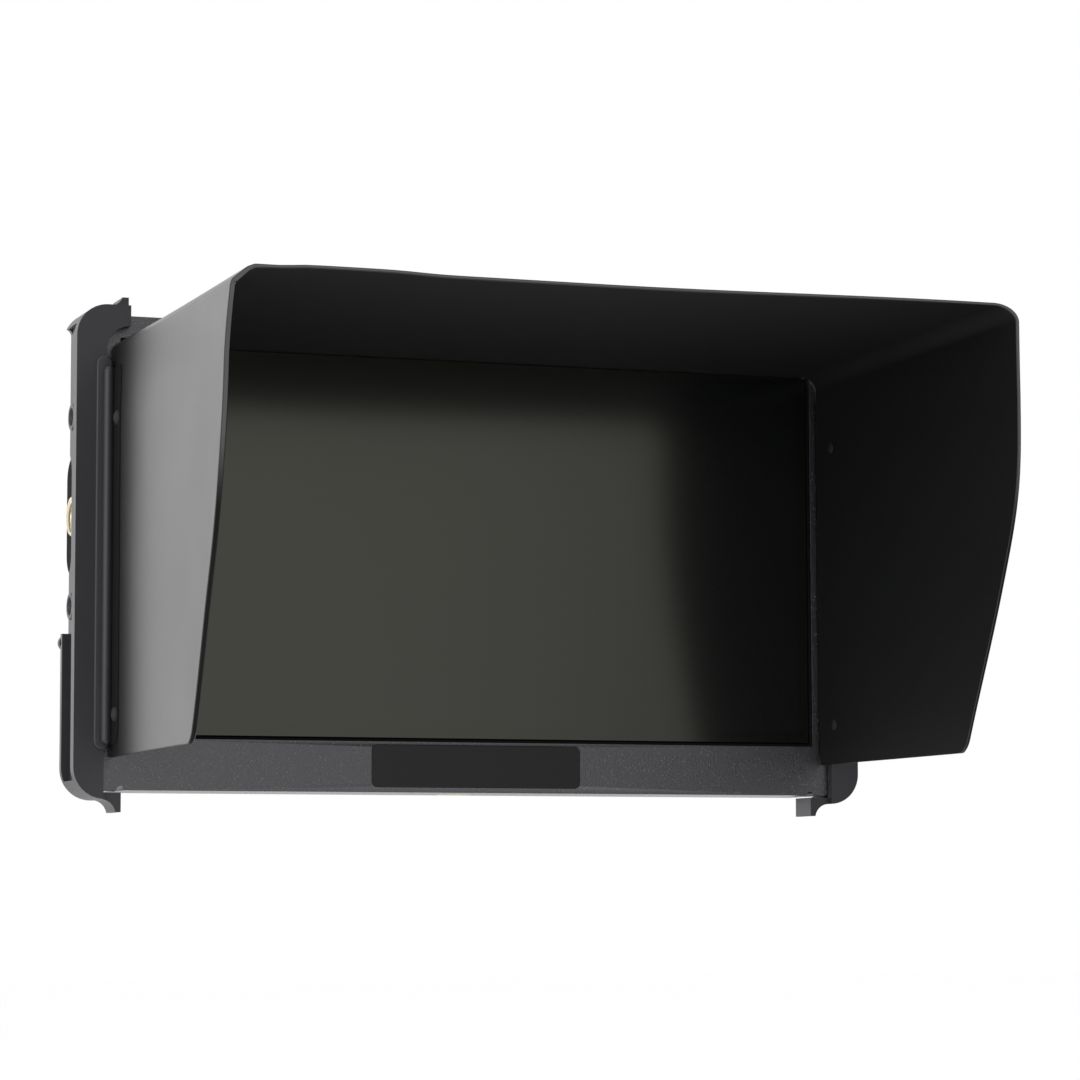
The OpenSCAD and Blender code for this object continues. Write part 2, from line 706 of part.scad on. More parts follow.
module side_outline() {
    low_r = 3;
    difference() {
        polygon([hood_point(hood_gap, hood_low_z), hood_point(hood_low_d - low_r, hood_low_z),
            hood_point(hood_low_d - low_r * 0.2, hood_low_z + low_r * 0.35),
            hood_point(hood_low_d + 0.1, hood_low_z + low_r * 1.1),
            hood_point(hood_d - 3.4, kink_z - 6.5), hood_point(hood_d - 1.5, kink_z - 2),
            hood_point(hood_d - 0.4, kink_z + 4), hood_point(hood_d, kink_z + 14),
            hood_point(hood_d, hood_z + 5), hood_point(hood_gap, hood_z + 5)]);
        translate([-2 * hood_d, -fold_r - fold_gap]) square([3 * hood_d, 2 * fold_r + 10]);
    }
}

module hood_side() color("#3b3b3d") side_frame() difference() {
    side_sheet(0, hood_t) side_outline();
    for (z = rivet_z) rivet_hole(z);
}

module hood_left_side() hood_side();
module hood_right_side() mirror([1, 0, 0]) hood_side();

module fold_quarter() intersection() {
    translate([fold_r, 1, -fold_r]) rotate([90, 0, 0]) difference() {
        cylinder(r = fold_r, h = hood_d + 2);
        translate([0, 0, -1]) cylinder(r = fold_r - hood_t, h = hood_d + 4);
    }
    translate([-1, -hood_d - 2, -fold_r]) cube([fold_r + 1 + e, hood_d + 4, fold_r + 1]);
}

module hood_top() color("#343436") intersection() {
    union() {
        mirrored() side_frame() fold_quarter();
        hood_frame() translate([0, 0, -hood_t]) linear_extrude(hood_t)
            polygon([for (s = [[-1, -1], [1, -1], [1, 1], [-1, 1]])
                let (d = s[1] < 0 ? hood_d + 1 : 0)
                [s[0] * (hood_w / 2 - fold_r + d * sin(flare)), -d]]);
    }
    translate([-hood_w, at(-hood_d), 0]) cube([2 * hood_w, hood_d - hood_gap, 2 * body_h]);
}

// ---------- hood clips ----------

// Left half of a rounded frame round the body, drawn in X and Z
module clip_outline() translate([0, body_h / 2]) round_rect(2 * clip_x, body_h + 2 * clip_z, clip_r);

module body_outline() translate([0, body_h / 2])
    round_rect(2 * web_in, body_h + 2 * arm_gap, corner_r + gap);

module clip_plate() difference() {
    intersection() {
        clip_outline();
        union() {
            translate([-clip_x, -clip_z]) square([clip_x - clip_inner_x, body_h + 2 * clip_z]);
            translate([-clip_x, hood_z - 2]) square([clip_x - arm_top_x, body_h]);
        }
    }
    translate([-arm_top_x, hood_z - 2]) circle(r = cut_r);
}

// Arm ends with a curved finger tail that stands off the body
module arm_profile(end_x, tail_h) {
    intersection() {
        difference() {
            clip_outline();
            body_outline();
        }
        translate([-clip_x, body_h / 2]) square([clip_x - end_x, body_h]);
    }
    translate([-end_x, body_h + clip_z - e]) difference() {
        translate([-tail_r - 1, 0]) square([tail_r + 1, tail_h]);
        translate([-tail_r - 1, tail_r]) circle(r = tail_r);
    }
}

module clip_shell() {
    between(-clip_proud, plate_back) clip_plate();
    between(plate_back - e, arm_d) arm_profile(arm_top_x, tail_top);
    between(plate_back - e, arm_d) translate([0, body_h]) mirror([0, 1]) arm_profile(arm_low_x, tail_low);
    between(plate_back - e, web_d) intersection() {
        difference() {
            clip_outline();
            body_outline();
        }
        translate([-clip_x, -clip_z]) square([clip_x - half_w + corner_r, body_h + 2 * clip_z]);
    }
    rod(-clip_x + 1.3, flange_low_z - 1.6, 1.5, web_d - e, web_d + 1.6);
}

module rivet_hole(z, r = rivet_r + fit) {
    p = hood_point(rivet_s, z);
    translate([-leaf_t - 1, p[0], p[1]]) rotate([0, 90, 0]) cylinder(r = r, h = leaf_t + hood_t + 2);
}

// Thin leaf on the outer face of the hood side
module clip_leaf() side_frame() side_sheet(-leaf_t, 0) {
    chamfer = 1.5;
    front = clip_proud + leaf_d;
    polygon([hood_point(gap, leaf_z[0]), hood_point(front - chamfer, leaf_z[0]),
        hood_point(front, leaf_z[0] + chamfer), hood_point(front, leaf_z[1] - chamfer),
        hood_point(front - chamfer, leaf_z[1]), hood_point(gap, leaf_z[1])]);
}

// Rounded bead that grips the hood side in front of the face plate
module clip_bead() side_frame() side_sheet(-bead_w, 0) {
    front = clip_proud + bead_proud;
    end_r = bead_w / 2;
    polygon([hood_point(gap, leaf_z[0]), hood_point(front - end_r, leaf_z[0]),
        hood_point(front, leaf_z[0] + end_r), hood_point(front, leaf_z[1] - end_r),
        hood_point(front - end_r, leaf_z[1]), hood_point(gap, leaf_z[1])]);
}

module hood_clip() color("#2f2f32") difference() {
    union() {
        difference() {
            clip_shell();
            // groove beside the leaf
            between(-clip_proud - 1, -clip_proud + groove_depth)
                translate([-clip_inner_x - 0.9 - groove_w / 2, (groove_z[0] + groove_z[1]) / 2])
                    rotate(90) stadium(groove_z[1] - groove_z[0], groove_w);
            // hollow in the outer face of the web
            block(-clip_x - 1, -hollow_x, -gap + 0.5, flange_d, hollow_z[0], hollow_z[1]);
            block(-clip_x - 1, -hollow_x, -gap + 0.5, web_d + 1, flange_low_z, flange_high_z - web_hollow);
            between(flange_d - e, web_d + 1) translate([-clip_x, flange_high_z - web_hollow])
                circle(r = web_hollow);
            // room for the side boss, open to the rear
            side_stadium(-clip_x - 1, -half_w, boss_d, side_thread_z, boss_len + 2, boss_w + 2 * gap);
            for (z = web_hole_z) {
                side_rod(-clip_x - 1, -half_w, web_hole_d, z, 1.9);
                side_rod(-clip_x - 1, -hollow_x + 0.6, web_hole_d, z, web_hole_r);
            }
        }
        clip_leaf();
        clip_bead();
    }
    side_frame() for (z = rivet_z) rivet_hole(z);
}

module left_clip() hood_clip();
module right_clip() mirror([1, 0, 0]) hood_clip();

module rivets() color("#1f1f21") side_frame() for (z = rivet_z) {
    p = hood_point(rivet_s, z);
    translate([0, p[0], p[1]]) rotate([0, 90, 0]) {
        translate([0, 0, -leaf_t]) cylinder(r = rivet_r, h = leaf_t + hood_t);
        translate([0, 0, -leaf_t - rivet_head_t])
            cylinder(r1 = rivet_r, r2 = rivet_head_r, h = rivet_head_t);
        translate([0, 0, hood_t]) cylinder(r1 = rivet_head_r, r2 = rivet_r, h = rivet_head_t);
    }
}

module left_rivets() rivets();
module right_rivets() mirror([1, 0, 0]) rivets();

// ---------- drawing ----------

front_bezel();
cover_glass();
glass_seal();
badge_plate();
lcd_cell();
light_guide();
backlight_tray();
chassis_frame();
chassis_screws();
main_board();
board_screws();
processor();
heat_sink();
shield_can();
panel_ribbon();
rear_cover();
cover_screws();
left_mount_block();
right_mount_block();
bottom_mount_block();
left_thread_insert();
right_thread_insert();
bottom_thread_insert();
hdmi_in_socket();
hdmi_out_socket();
usb_socket();
dc_jack();
headphone_jack();
key_board();
key_switches();
power_button();
menu_button();
left_button();
right_button();
battery_plate();
battery_plate_screws();
battery_contacts();
battery_catch();
catch_spring();
hood_top();
hood_left_side();
hood_right_side();
left_clip();
right_clip();
left_rivets();
right_rivets();
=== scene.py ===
import json
import math
import bpy
import bmesh
import numpy as np
from mathutils import Matrix, Vector


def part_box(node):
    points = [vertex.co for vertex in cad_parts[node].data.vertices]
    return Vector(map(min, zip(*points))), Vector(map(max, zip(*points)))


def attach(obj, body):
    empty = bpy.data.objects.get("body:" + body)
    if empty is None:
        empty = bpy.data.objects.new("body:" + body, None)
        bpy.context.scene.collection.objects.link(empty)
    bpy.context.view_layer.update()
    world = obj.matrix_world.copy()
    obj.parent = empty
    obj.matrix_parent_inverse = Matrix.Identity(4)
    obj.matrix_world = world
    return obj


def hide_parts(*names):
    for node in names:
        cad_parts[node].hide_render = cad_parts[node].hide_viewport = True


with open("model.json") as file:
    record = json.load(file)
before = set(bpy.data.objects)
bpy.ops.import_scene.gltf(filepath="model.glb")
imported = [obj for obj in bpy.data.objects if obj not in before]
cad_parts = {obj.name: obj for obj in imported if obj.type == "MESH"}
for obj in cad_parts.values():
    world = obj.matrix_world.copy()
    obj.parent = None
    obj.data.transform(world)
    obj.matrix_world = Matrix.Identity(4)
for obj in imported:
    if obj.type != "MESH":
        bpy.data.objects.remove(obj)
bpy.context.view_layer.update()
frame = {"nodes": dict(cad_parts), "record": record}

mm = 0.001
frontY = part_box("front_bezel")[0][1]  # the bezel's front face


def addObject(name, data):
    thing = bpy.data.objects.new(name, data)
    bpy.context.scene.collection.objects.link(thing)
    return thing


view = {
    "eye": (-0.234226, -0.687749, -0.021347),  # left of the screen and a little below it
    "yaw": 20.166,  # degrees to the right of straight ahead
    "pitch": 5.661,  # degrees upwards
    "roll": -0.1885,
    "fieldOfView": 16.765,  # degrees across the square picture
    "sensorWidth": 36.0,
    "nearest": 0.01,
    "farthest": 20.0,
}


def aimCamera():
    yaw, pitch, roll = (math.radians(view[k]) for k in ("yaw", "pitch", "roll"))
    ahead = Vector((math.sin(yaw) * math.cos(pitch), math.cos(yaw) * math.cos(pitch), math.sin(pitch)))
    level = Vector((math.cos(yaw), -math.sin(yaw), 0.0))
    above = level.cross(ahead)
    right = level * math.cos(roll) + above * math.sin(roll)
    up = above * math.cos(roll) - level * math.sin(roll)
    data = bpy.data.cameras.new("camera")
    data.sensor_fit = "HORIZONTAL"
    data.sensor_width = view["sensorWidth"]
    data.angle = math.radians(view["fieldOfView"])
    data.clip_start = view["nearest"]
    data.clip_end = view["farthest"]
    camera = addObject("camera", data)
    place = Matrix((right, up, -ahead)).transposed().to_4x4()
    place.translation = Vector(view["eye"])
    camera.matrix_world = place
    bpy.context.scene.camera = camera


aimCamera()
print("camera in place")


def feed(tree, socket, value):
    # a socket takes a link from another socket, or a fixed value
    if isinstance(value, bpy.types.NodeSocket):
        tree.links.new(value, socket)
    else:
        socket.default_value = value


def noiseNode(tree, vector, scale, detail, roughness=0.55):
    noise = tree.nodes.new("ShaderNodeTexNoise")
    values = {"Vector": vector, "Scale": scale, "Detail": detail, "Roughness": roughness}
    for label, value in values.items():
        feed(tree, noise.inputs[label], value)
    return noise.outputs["Fac"]


def mathNode(tree, operation, *values, clamp=False):
    node = tree.nodes.new("ShaderNodeMath")
    node.operation = operation
    node.use_clamp = clamp
    for k, value in enumerate(values):
        feed(tree, node.inputs[k], value)
    return node.outputs[0]


def smoothMap(tree, value, low, high, toLow, toHigh):
    # toLow below low and toHigh above high, with a smooth step between
    node = tree.nodes.new("ShaderNodeMapRange")
    node.interpolation_type = "SMOOTHSTEP"
    values = {"Value": value, "From Min": low, "From Max": high, "To Min": toLow, "To Max": toHigh}
    for label, given in values.items():
        feed(tree, node.inputs[label], given)
    return node.outputs["Result"]


def scaleNode(tree, color, gain):
    node = tree.nodes.new("ShaderNodeVectorMath")
    node.operation = "SCALE"
    feed(tree, node.inputs[0], color)
    feed(tree, node.inputs["Scale"], gain)
    return node.outputs[0]


def mixNode(tree, factor, a, b):
    # colour a where the factor is 0, colour b where it is 1
    node = tree.nodes.new("ShaderNodeMix")
    node.data_type = "RGBA"
    for label, value in (("Factor", factor), ("A", a), ("B", b)):
        feed(tree, node.inputs[label], value)
    return node.outputs["Result"]


def placeGroup(tree, group, **values):
    node = tree.nodes.new("ShaderNodeGroup")
    node.node_tree = group
    for label, value in values.items():
        feed(tree, node.inputs[label], value)
    return node


def makeGroup(name, inputs, outputs):
    tree = bpy.data.node_groups.new(name, "ShaderNodeTree")
    for label, kind, value in inputs:
        socket = tree.interface.new_socket(name=label, in_out="INPUT", socket_type="NodeSocket" + kind)
        if value is not None:
            socket.default_value = value
    for label, kind in outputs:
        tree.interface.new_socket(name=label, in_out="OUTPUT", socket_type="NodeSocket" + kind)
    return tree, tree.nodes.new("NodeGroupInput").outputs, tree.nodes.new("NodeGroupOutput").inputs


def buildGrain():
    # height = fine noise + half of a four times finer noise
    tree, given, result = makeGroup("surfaceGrain", [("Vector", "Vector", None), ("Scale", "Float", 1500.0)],
                                    [("Height", "Float")])
    coarse = noiseNode(tree, given["Vector"], given["Scale"], 2.0)
    finer = mathNode(tree, "MULTIPLY", given["Scale"], 4.0)
    fine = noiseNode(tree, given["Vector"], finer, 1.0)
    feed(tree, result["Height"], mathNode(tree, "MULTIPLY_ADD", fine, 0.5, coarse))
    return tree


def buildHandling():
    # slow patches shift the roughness by up to twice the spread, and the colour by a little
    tree, given, result = makeGroup(
        "handlingMarks",
        [("Vector", "Vector", None), ("Scale", "Float", 40.0), ("Roughness", "Float", 0.4),
         ("Spread", "Float", 0.06), ("Color", "Color", (0.1, 0.1, 0.1, 1.0)), ("Tone", "Float", 0.1)],
        [("Roughness", "Float"), ("Color", "Color")])
    roughGain, toneGain, detail, rough = 4.0, 3.0, 5.0, 0.62
    patches = noiseNode(tree, given["Vector"], given["Scale"], detail, rough)
    centred = mathNode(tree, "SUBTRACT", patches, 0.5)
    shift = mathNode(tree, "MULTIPLY", mathNode(tree, "MULTIPLY", centred, given["Spread"]), roughGain)
    feed(tree, result["Roughness"], mathNode(tree, "ADD", given["Roughness"], shift, clamp=True))
    tone = mathNode(tree, "MULTIPLY", centred, given["Tone"])
    gain = mathNode(tree, "MULTIPLY_ADD", tone, toneGain, 1.0)
    feed(tree, result["Color"], scaleNode(tree, given["Color"], gain))
    return tree


def buildPaintedGlints():
    # painted glints: a glint is a cell whose own random number is high and whose centre is near; its light
    # colour stands in for a highlight
    tree, given, result = makeGroup(
        "paintedGlints",
        [("Vector", "Vector", None), ("Scale", "Float", 2500.0), ("Share", "Float", 0.03),
         ("Size", "Float", 0.4)],
        [("Mask", "Float")])
    cells = tree.nodes.new("ShaderNodeTexVoronoi")
    feed(tree, cells.inputs["Vector"], given["Vector"])
    feed(tree, cells.inputs["Scale"], given["Scale"])
    near = mathNode(tree, "LESS_THAN", cells.outputs["Distance"], given["Size"])
    parted = tree.nodes.new("ShaderNodeSeparateColor")
    feed(tree, parted.inputs["Color"], cells.outputs["Color"])
    limit = mathNode(tree, "SUBTRACT", 1.0, given["Share"])
    chosen = mathNode(tree, "GREATER_THAN", parted.outputs[0], limit)
    feed(tree, result["Mask"], mathNode(tree, "MULTIPLY", near, chosen))
    return tree


def buildShade():
    # tone = 1, falling smoothly to the shade's tone as the direction nears the shaded side
    tree, given, result = makeGroup(
        "sideShade",
        [("Vector", "Vector", None), ("Side", "Vector", None), ("Start", "Float", 0.75),
         ("Full", "Float", 0.87), ("Tone", "Float", 0.2)],
        [("Value", "Float")])
    unit = tree.nodes.new("ShaderNodeVectorMath")
    unit.operation = "NORMALIZE"
    feed(tree, unit.inputs[0], given["Vector"])
    along = tree.nodes.new("ShaderNodeVectorMath")
    along.operation = "DOT_PRODUCT"
    feed(tree, along.inputs[0], unit.outputs["Vector"])
    feed(tree, along.inputs[1], given["Side"])
    tone = smoothMap(tree, along.outputs["Value"], given["Start"], given["Full"], 1.0, given["Tone"])
    feed(tree, result["Value"], tone)
    return tree


grainGroup = buildGrain()
handlingGroup = buildHandling()
glintGroup = buildPaintedGlints()
shadeGroup = buildShade()
print("shader groups built")

patchScale = 45.0  # handling patches per metre
# colours are linear; grain is (cells per metre, bump depth in metres); usual holds what a finish leaves out
# the flecks are painted glints, light specks in the colour: (cells per metre, share, size, colour); fade is
# painted shade, colour and specular darkened low down: (low z, high z, share left low down)
usual = {"spread": 0.03, "tone": 0.08, "grain": (2600.0, 0.00001), "specular": 0.5, "metallic": 0.0,
         "index": 1.5, "tint": (1, 1, 1)}
finishes = {
    # painted glints: the powder coat's light flecks are specks in its colour that stand in for glints
    "powderCoat": {"color": (0.007, 0.0071, 0.0083), "roughness": 0.27, "spread": 0.02, "tone": 0.10,
                   "grain": (2700.0, 0.00005), "glintFlecks": (3000.0, 0.09, 0.36, (0.09, 0.09, 0.095)),
                   "index": 2.0, "tint": (0.96, 0.96, 1.0)},
    "clipMoulding": {"color": (0.0195, 0.0200, 0.0235), "roughness": 0.42},
    "rivetCap": {"color": (0.026, 0.026, 0.028), "roughness": 0.6, "specular": 0.15},
    # painted shade: the riveted leaf is real, but its matt near-black face with almost no specular stands in
    # for the shade beside the bead
    "leafPaintedShade": {"color": (0.012, 0.012, 0.0125), "roughness": 0.8, "spread": 0.02,
                 "grain": (2600.0, 0.00002), "specular": 0.03},
    "hoodLining": {"color": (0.0058, 0.0060, 0.0068), "roughness": 0.62, "spread": 0.02,
                   "grain": (2600.0, 0.00002), "specular": 0.2},
    "hoodSheet": {"color": (0.0040, 0.0040, 0.0043), "roughness": 0.33, "spread": 0.02,
                  "grain": (3200.0, 0.000012), "specular": 0.57, "tint": (0.95, 0.95, 1.0)},
    # painted shade: the cut edges' colour and specular are darkened low down, where the edges face down and
    # get less light
    "cutEdge": {"color": (0.075, 0.073, 0.077), "roughness": 0.6, "tone": 0.25,
                "grain": (2600.0, 0.00003), "fade": (0.044, 0.060, 0.14)},
    "badge": {"color": (0.005, 0.005, 0.0053), "roughness": 0.30, "spread": 0.02, "tone": 0.05,
              "grain": (4000.0, 0.000002), "specular": 0.33},
    "sealRubber": {"color": (0.006, 0.006, 0.006), "roughness": 0.7, "tone": 0.1,
                   "grain": (3000.0, 0.00001), "specular": 0.08},
    "brass": {"color": (0.70, 0.62, 0.47), "roughness": 0.28, "spread": 0.05, "tone": 0.12,
              "grain": (2500.0, 0.000006), "metallic": 1.0},
    "anodised": {"color": (0.0055, 0.0055, 0.007), "roughness": 0.65, "specular": 0.03},
    "plateMoulding": {"color": (0.022, 0.022, 0.023), "roughness": 0.52, "tone": 0.10,
                      "grain": (1100.0, 0.00005)},
    "keyCap": {"color": (0.020, 0.020, 0.021), "roughness": 0.45},
    "catchCap": {"color": (0.045, 0.045, 0.048), "roughness": 0.42, "grain": (2000.0, 0.00002)},
    "darkScrew": {"color": (0.10, 0.10, 0.105), "roughness": 0.34, "spread": 0.05, "tone": 0.15,
                  "grain": (3000.0, 0.000006), "metallic": 1.0},
    "brightSteel": {"color": (0.62, 0.62, 0.63), "roughness": 0.26, "spread": 0.06, "tone": 0.10,
                    "grain": (2500.0, 0.000005), "metallic": 1.0},
    "springSteel": {"color": (0.55, 0.55, 0.57), "roughness": 0.30, "spread": 0.05, "tone": 0.10,
                    "grain": (4000.0, 0.000004), "metallic": 1.0},
    "castAluminium": {"color": (0.50, 0.51, 0.52), "roughness": 0.42, "spread": 0.06, "tone": 0.12,
                      "grain": (1600.0, 0.00003), "metallic": 1.0},
    "gold": {"color": (0.86, 0.62, 0.26), "roughness": 0.22, "spread": 0.04,
             "grain": (4000.0, 0.000002), "metallic": 1.0},
    "chipEpoxy": {"color": (0.016, 0.016, 0.018), "roughness": 0.55, "spread": 0.04, "tone": 0.15,
                  "grain": (2500.0, 0.00002)},
    "filmCable": {"color": (0.42, 0.16, 0.035), "roughness": 0.30, "spread": 0.05, "tone": 0.15,
                  "grain": (1500.0, 0.000005)},
    "guideAcrylic": {"color": (0.80, 0.83, 0.85), "roughness": 0.12, "spread": 0.02, "tone": 0.04,
                     "grain": (900.0, 0.000004)},
}


def newMaterial(name):
    mat = bpy.data.materials.new(name)
    mat.use_nodes = True
    return mat, mat.node_tree, mat.node_tree.nodes["Principled BSDF"]


def objectVector(tree):
    return tree.nodes.new("ShaderNodeTexCoord").outputs["Object"]


def heightsOf(tree, vector):
    parted = tree.nodes.new("ShaderNodeSeparateXYZ")
    feed(tree, parted.inputs[0], vector)
    return parted.outputs


def makeFinish(name):
    spec = {**usual, **finishes[name]}
    mat, tree, shader = newMaterial(name)
    place = objectVector(tree)
    marks = placeGroup(tree, handlingGroup, Vector=place, Scale=patchScale, Roughness=spec["roughness"],
                       Spread=spec["spread"], Color=(*spec["color"], 1.0), Tone=spec["tone"])
    color = marks.outputs["Color"]
    # painted glints: light flecks mixed into the base colour stand in for highlights
    if "glintFlecks" in spec:
        scale, share, size, glintColor = spec["glintFlecks"]
        glintFlecks = placeGroup(tree, glintGroup, Vector=place, Scale=scale, Share=share, Size=size)
        color = mixNode(tree, glintFlecks.outputs["Mask"], color, (*glintColor, 1.0))
    # painted shade: colour and specular darkened below a height, as for edges that face down
    if "fade" in spec:
        low, high, share = spec["fade"]
        gain = smoothMap(tree, heightsOf(tree, place)["Z"], low, high, share, 1.0)
        color = scaleNode(tree, color, gain)
        feed(tree, shader.inputs["Specular IOR Level"], mathNode(tree, "MULTIPLY", gain, spec["specular"]))
    grain = placeGroup(tree, grainGroup, Vector=place, Scale=spec["grain"][0])
    bump = tree.nodes.new("ShaderNodeBump")
    bump.inputs["Distance"].default_value = spec["grain"][1]
    feed(tree, bump.inputs["Height"], grain.outputs["Height"])
    feed(tree, shader.inputs["Base Color"], color)
    feed(tree, shader.inputs["Roughness"], marks.outputs["Roughness"])
    feed(tree, shader.inputs["Normal"], bump.outputs["Normal"])
    shader.inputs["Metallic"].default_value = spec["metallic"]
    shader.inputs["Specular IOR Level"].default_value = spec["specular"]
    shader.inputs["IOR"].default_value = spec["index"]
    shader.inputs["Specular Tint"].default_value = (*spec["tint"], 1.0)
    return mat


materials = {name: makeFinish(name) for name in finishes}

glass = {
    "pictureColor": (0.0020, 0.0024, 0.0031),
    "tint": (1.0, 1.0, 0.86),
    "index": 1.62,
    "specular": 0.5,
    "borderColor": (0.0020, 0.0020, 0.0020),
    "lineColor": (0.0006, 0.0006, 0.0006),
    "borderInset": 2.0 * mm,  # from the glass edge to the thin dark line
    "lineWidth": 0.25 * mm,
    "edgeBand": 0.28 * mm,  # matt black rim of the glass
    "roughness": 0.165,
    "patches": (14.0, 0.012, 0.05),  # per metre, and their shift of roughness and of tone
}


def makeScreenMaterial():
    # distance inside the picture's edge = half size - |position - middle|, the smaller of x and z
    low, high = (np.array(corner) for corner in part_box("cover_glass"))
    middle, half = (low + high) / 2, (high - low) / 2
    mat, tree, shader = newMaterial("screenGlass")
    place = objectVector(tree)
    parted = heightsOf(tree, place)
    margins = []
    for axis in (0, 2):
        offset = mathNode(tree, "SUBTRACT", parted[axis], float(middle[axis]))
        margins.append(mathNode(tree, "SUBTRACT", float(half[axis]), mathNode(tree, "ABSOLUTE", offset)))
    depth = mathNode(tree, "MINIMUM", *margins)
    inside = mathNode(tree, "GREATER_THAN", depth, glass["borderInset"])
    line = mathNode(tree, "COMPARE", depth, glass["borderInset"], glass["lineWidth"])
    scale, spread, tone = glass["patches"]
    marks = placeGroup(tree, handlingGroup, Vector=place, Scale=scale, Roughness=glass["roughness"],
                       Spread=spread, Color=(*glass["pictureColor"], 1.0), Tone=tone)
    base = mixNode(tree, inside, (*glass["borderColor"], 1.0), marks.outputs["Color"])
    feed(tree, shader.inputs["Base Color"], mixNode(tree, line, base, (*glass["lineColor"], 1.0)))
    feed(tree, shader.inputs["Roughness"], marks.outputs["Roughness"])
    shader.inputs["IOR"].default_value = glass["index"]
    clear = mathNode(tree, "GREATER_THAN", depth, glass["edgeBand"])
    feed(tree, shader.inputs["Specular IOR Level"], mathNode(tree, "MULTIPLY", clear, glass["specular"]))
    shader.inputs["Specular Tint"].default_value = (*glass["tint"], 1.0)
    return mat


board = {
    "maskColor": (0.008, 0.060, 0.026),
    "trackColor": (0.020, 0.130, 0.050),
    "trackScale": 260.0,
    "trackWidth": 0.05,
    "roughness": 0.32,
    "patches": (60.0, 0.04, 0.1),  # as for the glass
}


def makeBoardMaterial():
    # copper tracks show through the solder mask as slightly lighter bands
    mat, tree, shader = newMaterial("circuitBoard")
    place = objectVector(tree)
    cells = tree.nodes.new("ShaderNodeTexVoronoi")
    cells.feature = "DISTANCE_TO_EDGE"
    cells.inputs["Scale"].default_value = board["trackScale"]
    feed(tree, cells.inputs["Vector"], place)
    track = mathNode(tree, "LESS_THAN", cells.outputs["Distance"], board["trackWidth"])
    color = mixNode(tree, track, (*board["maskColor"], 1.0), (*board["trackColor"], 1.0))
    scale, spread, tone = board["patches"]
    marks = placeGroup(tree, handlingGroup, Vector=place, Scale=scale, Roughness=board["roughness"],
                       Spread=spread, Tone=tone, Color=color)
    feed(tree, shader.inputs["Base Color"], marks.outputs["Color"])
    feed(tree, shader.inputs["Roughness"], marks.outputs["Roughness"])
    return mat


materials["screenGlass"] = makeScreenMaterial()
materials["circuitBoard"] = makeBoardMaterial()
print("materials:", len(materials))

# the CAD nodes that take each finish
finishNodes = {
    "powderCoat": "front_bezel rear_cover",
    "screenGlass": "cover_glass",
    "sealRubber": "glass_seal",
    "badge": "badge_plate lcd_cell",
    "guideAcrylic": "light_guide",
    "brightSteel": "backlight_tray shield_can chassis_screws board_screws hdmi_in_socket hdmi_out_socket "
                   "usb_socket",
    "castAluminium": "chassis_frame heat_sink",
    "circuitBoard": "main_board key_board",
    "chipEpoxy": "processor key_switches dc_jack headphone_jack",
    "filmCable": "panel_ribbon",
    "darkScrew": "cover_screws battery_plate_screws",
    "anodised": "left_mount_block right_mount_block bottom_mount_block",
    "brass": "left_thread_insert right_thread_insert bottom_thread_insert",
    "keyCap": "power_button menu_button left_button right_button",
    "plateMoulding": "battery_plate",
    "gold": "battery_contacts",
    "catchCap": "battery_catch",
    "springSteel": "catch_spring",
    "hoodSheet": "hood_top hood_left_side hood_right_side",
    "clipMoulding": "left_clip right_clip left_rivets right_rivets",
}
nodeFinish = {name: finish for finish, names in finishNodes.items() for name in names.split()}

for name, node in frame["nodes"].items():
    finish = materials[nodeFinish[name]]
    if not node.data.materials:
        node.data.materials.append(finish)
    for slot in node.material_slots:
        slot.material = finish

bodyOf = {member: body for body, members in frame["record"]["behaviour"]["bodies"].items()
          for member in members}


meshing = {
    "flatAngle": 1.0,  # degrees; lines across a flatter face are dissolved
    "bevelAngle": 38.0,  # sharper edges are rounded
    "sharpAngle": 50.0,  # sharper edges stay sharp in the shading
    "softSharpAngle": 35.0,  # the same on the softened CAD pieces
}


def outward(mesh):
    # point all faces outwards on a closed mesh
    work = bmesh.new()
    work.from_mesh(mesh)
    bmesh.ops.remove_doubles(work, verts=work.verts, dist=1e-7)
    bmesh.ops.recalc_face_normals(work, faces=work.faces)
    work.to_mesh(mesh)
    work.free()


def mergeMesh(mesh):
    # joins a CAD mesh's loose triangles and dissolves the lines across its flat faces
    work = bmesh.new()
    work.from_mesh(mesh)
    bmesh.ops.remove_doubles(work, verts=work.verts, dist=2e-6)
    bmesh.ops.dissolve_limit(work, angle_limit=math.radians(meshing["flatAngle"]), verts=work.verts,
                             edges=work.edges, delimit={"NORMAL"})
    work.to_mesh(mesh)
    work.free()


def addBevel(piece, width):
    bevel = piece.modifiers.new("edges", "BEVEL")
    bevel.width = width
    bevel.segments = 2
    bevel.limit_method = "ANGLE"
    bevel.angle_limit = math.radians(meshing["bevelAngle"])
    bevel.use_clamp_overlap = True
    bevel.harden_normals = True


def finishPiece(piece, node, smoothAngle):
    piece.data.shade_smooth()
    piece.data.set_sharp_from_angle(angle=math.radians(smoothAngle))
    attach(piece, bodyOf[node])


def newPiece(name, verts, faces, material, node, smoothAngle=meshing["sharpAngle"]):
    # a closed mesh that rides with the body of the CAD node it stands for
    mesh = bpy.data.meshes.new(name)
    mesh.from_pydata(np.asarray(verts).tolist(), [], [list(map(int, f)) for f in faces])
    mesh.validate()
    mesh.materials.append(materials[material])
    outward(mesh)
    piece = addObject(name, mesh)
    finishPiece(piece, node, smoothAngle)
    return piece


def gridFaces(rows, columns, start=0, closeColumns=False, flip=False):
    # one quad for each cell of a grid whose point (i, j) has number i * columns + j
    i, j = np.arange(rows - 1), np.arange(columns if closeColumns else columns - 1)
    i, j = (a.ravel() for a in np.meshgrid(i, j, indexing="ij"))
    nextJ = (j + 1) % columns
    here, above = i * columns, (i + 1) * columns
    quads = np.stack([here + j, above + j, above + nextJ, here + nextJ], 1)
    if flip:
        quads = quads[:, ::-1]
    return (quads + start).tolist()


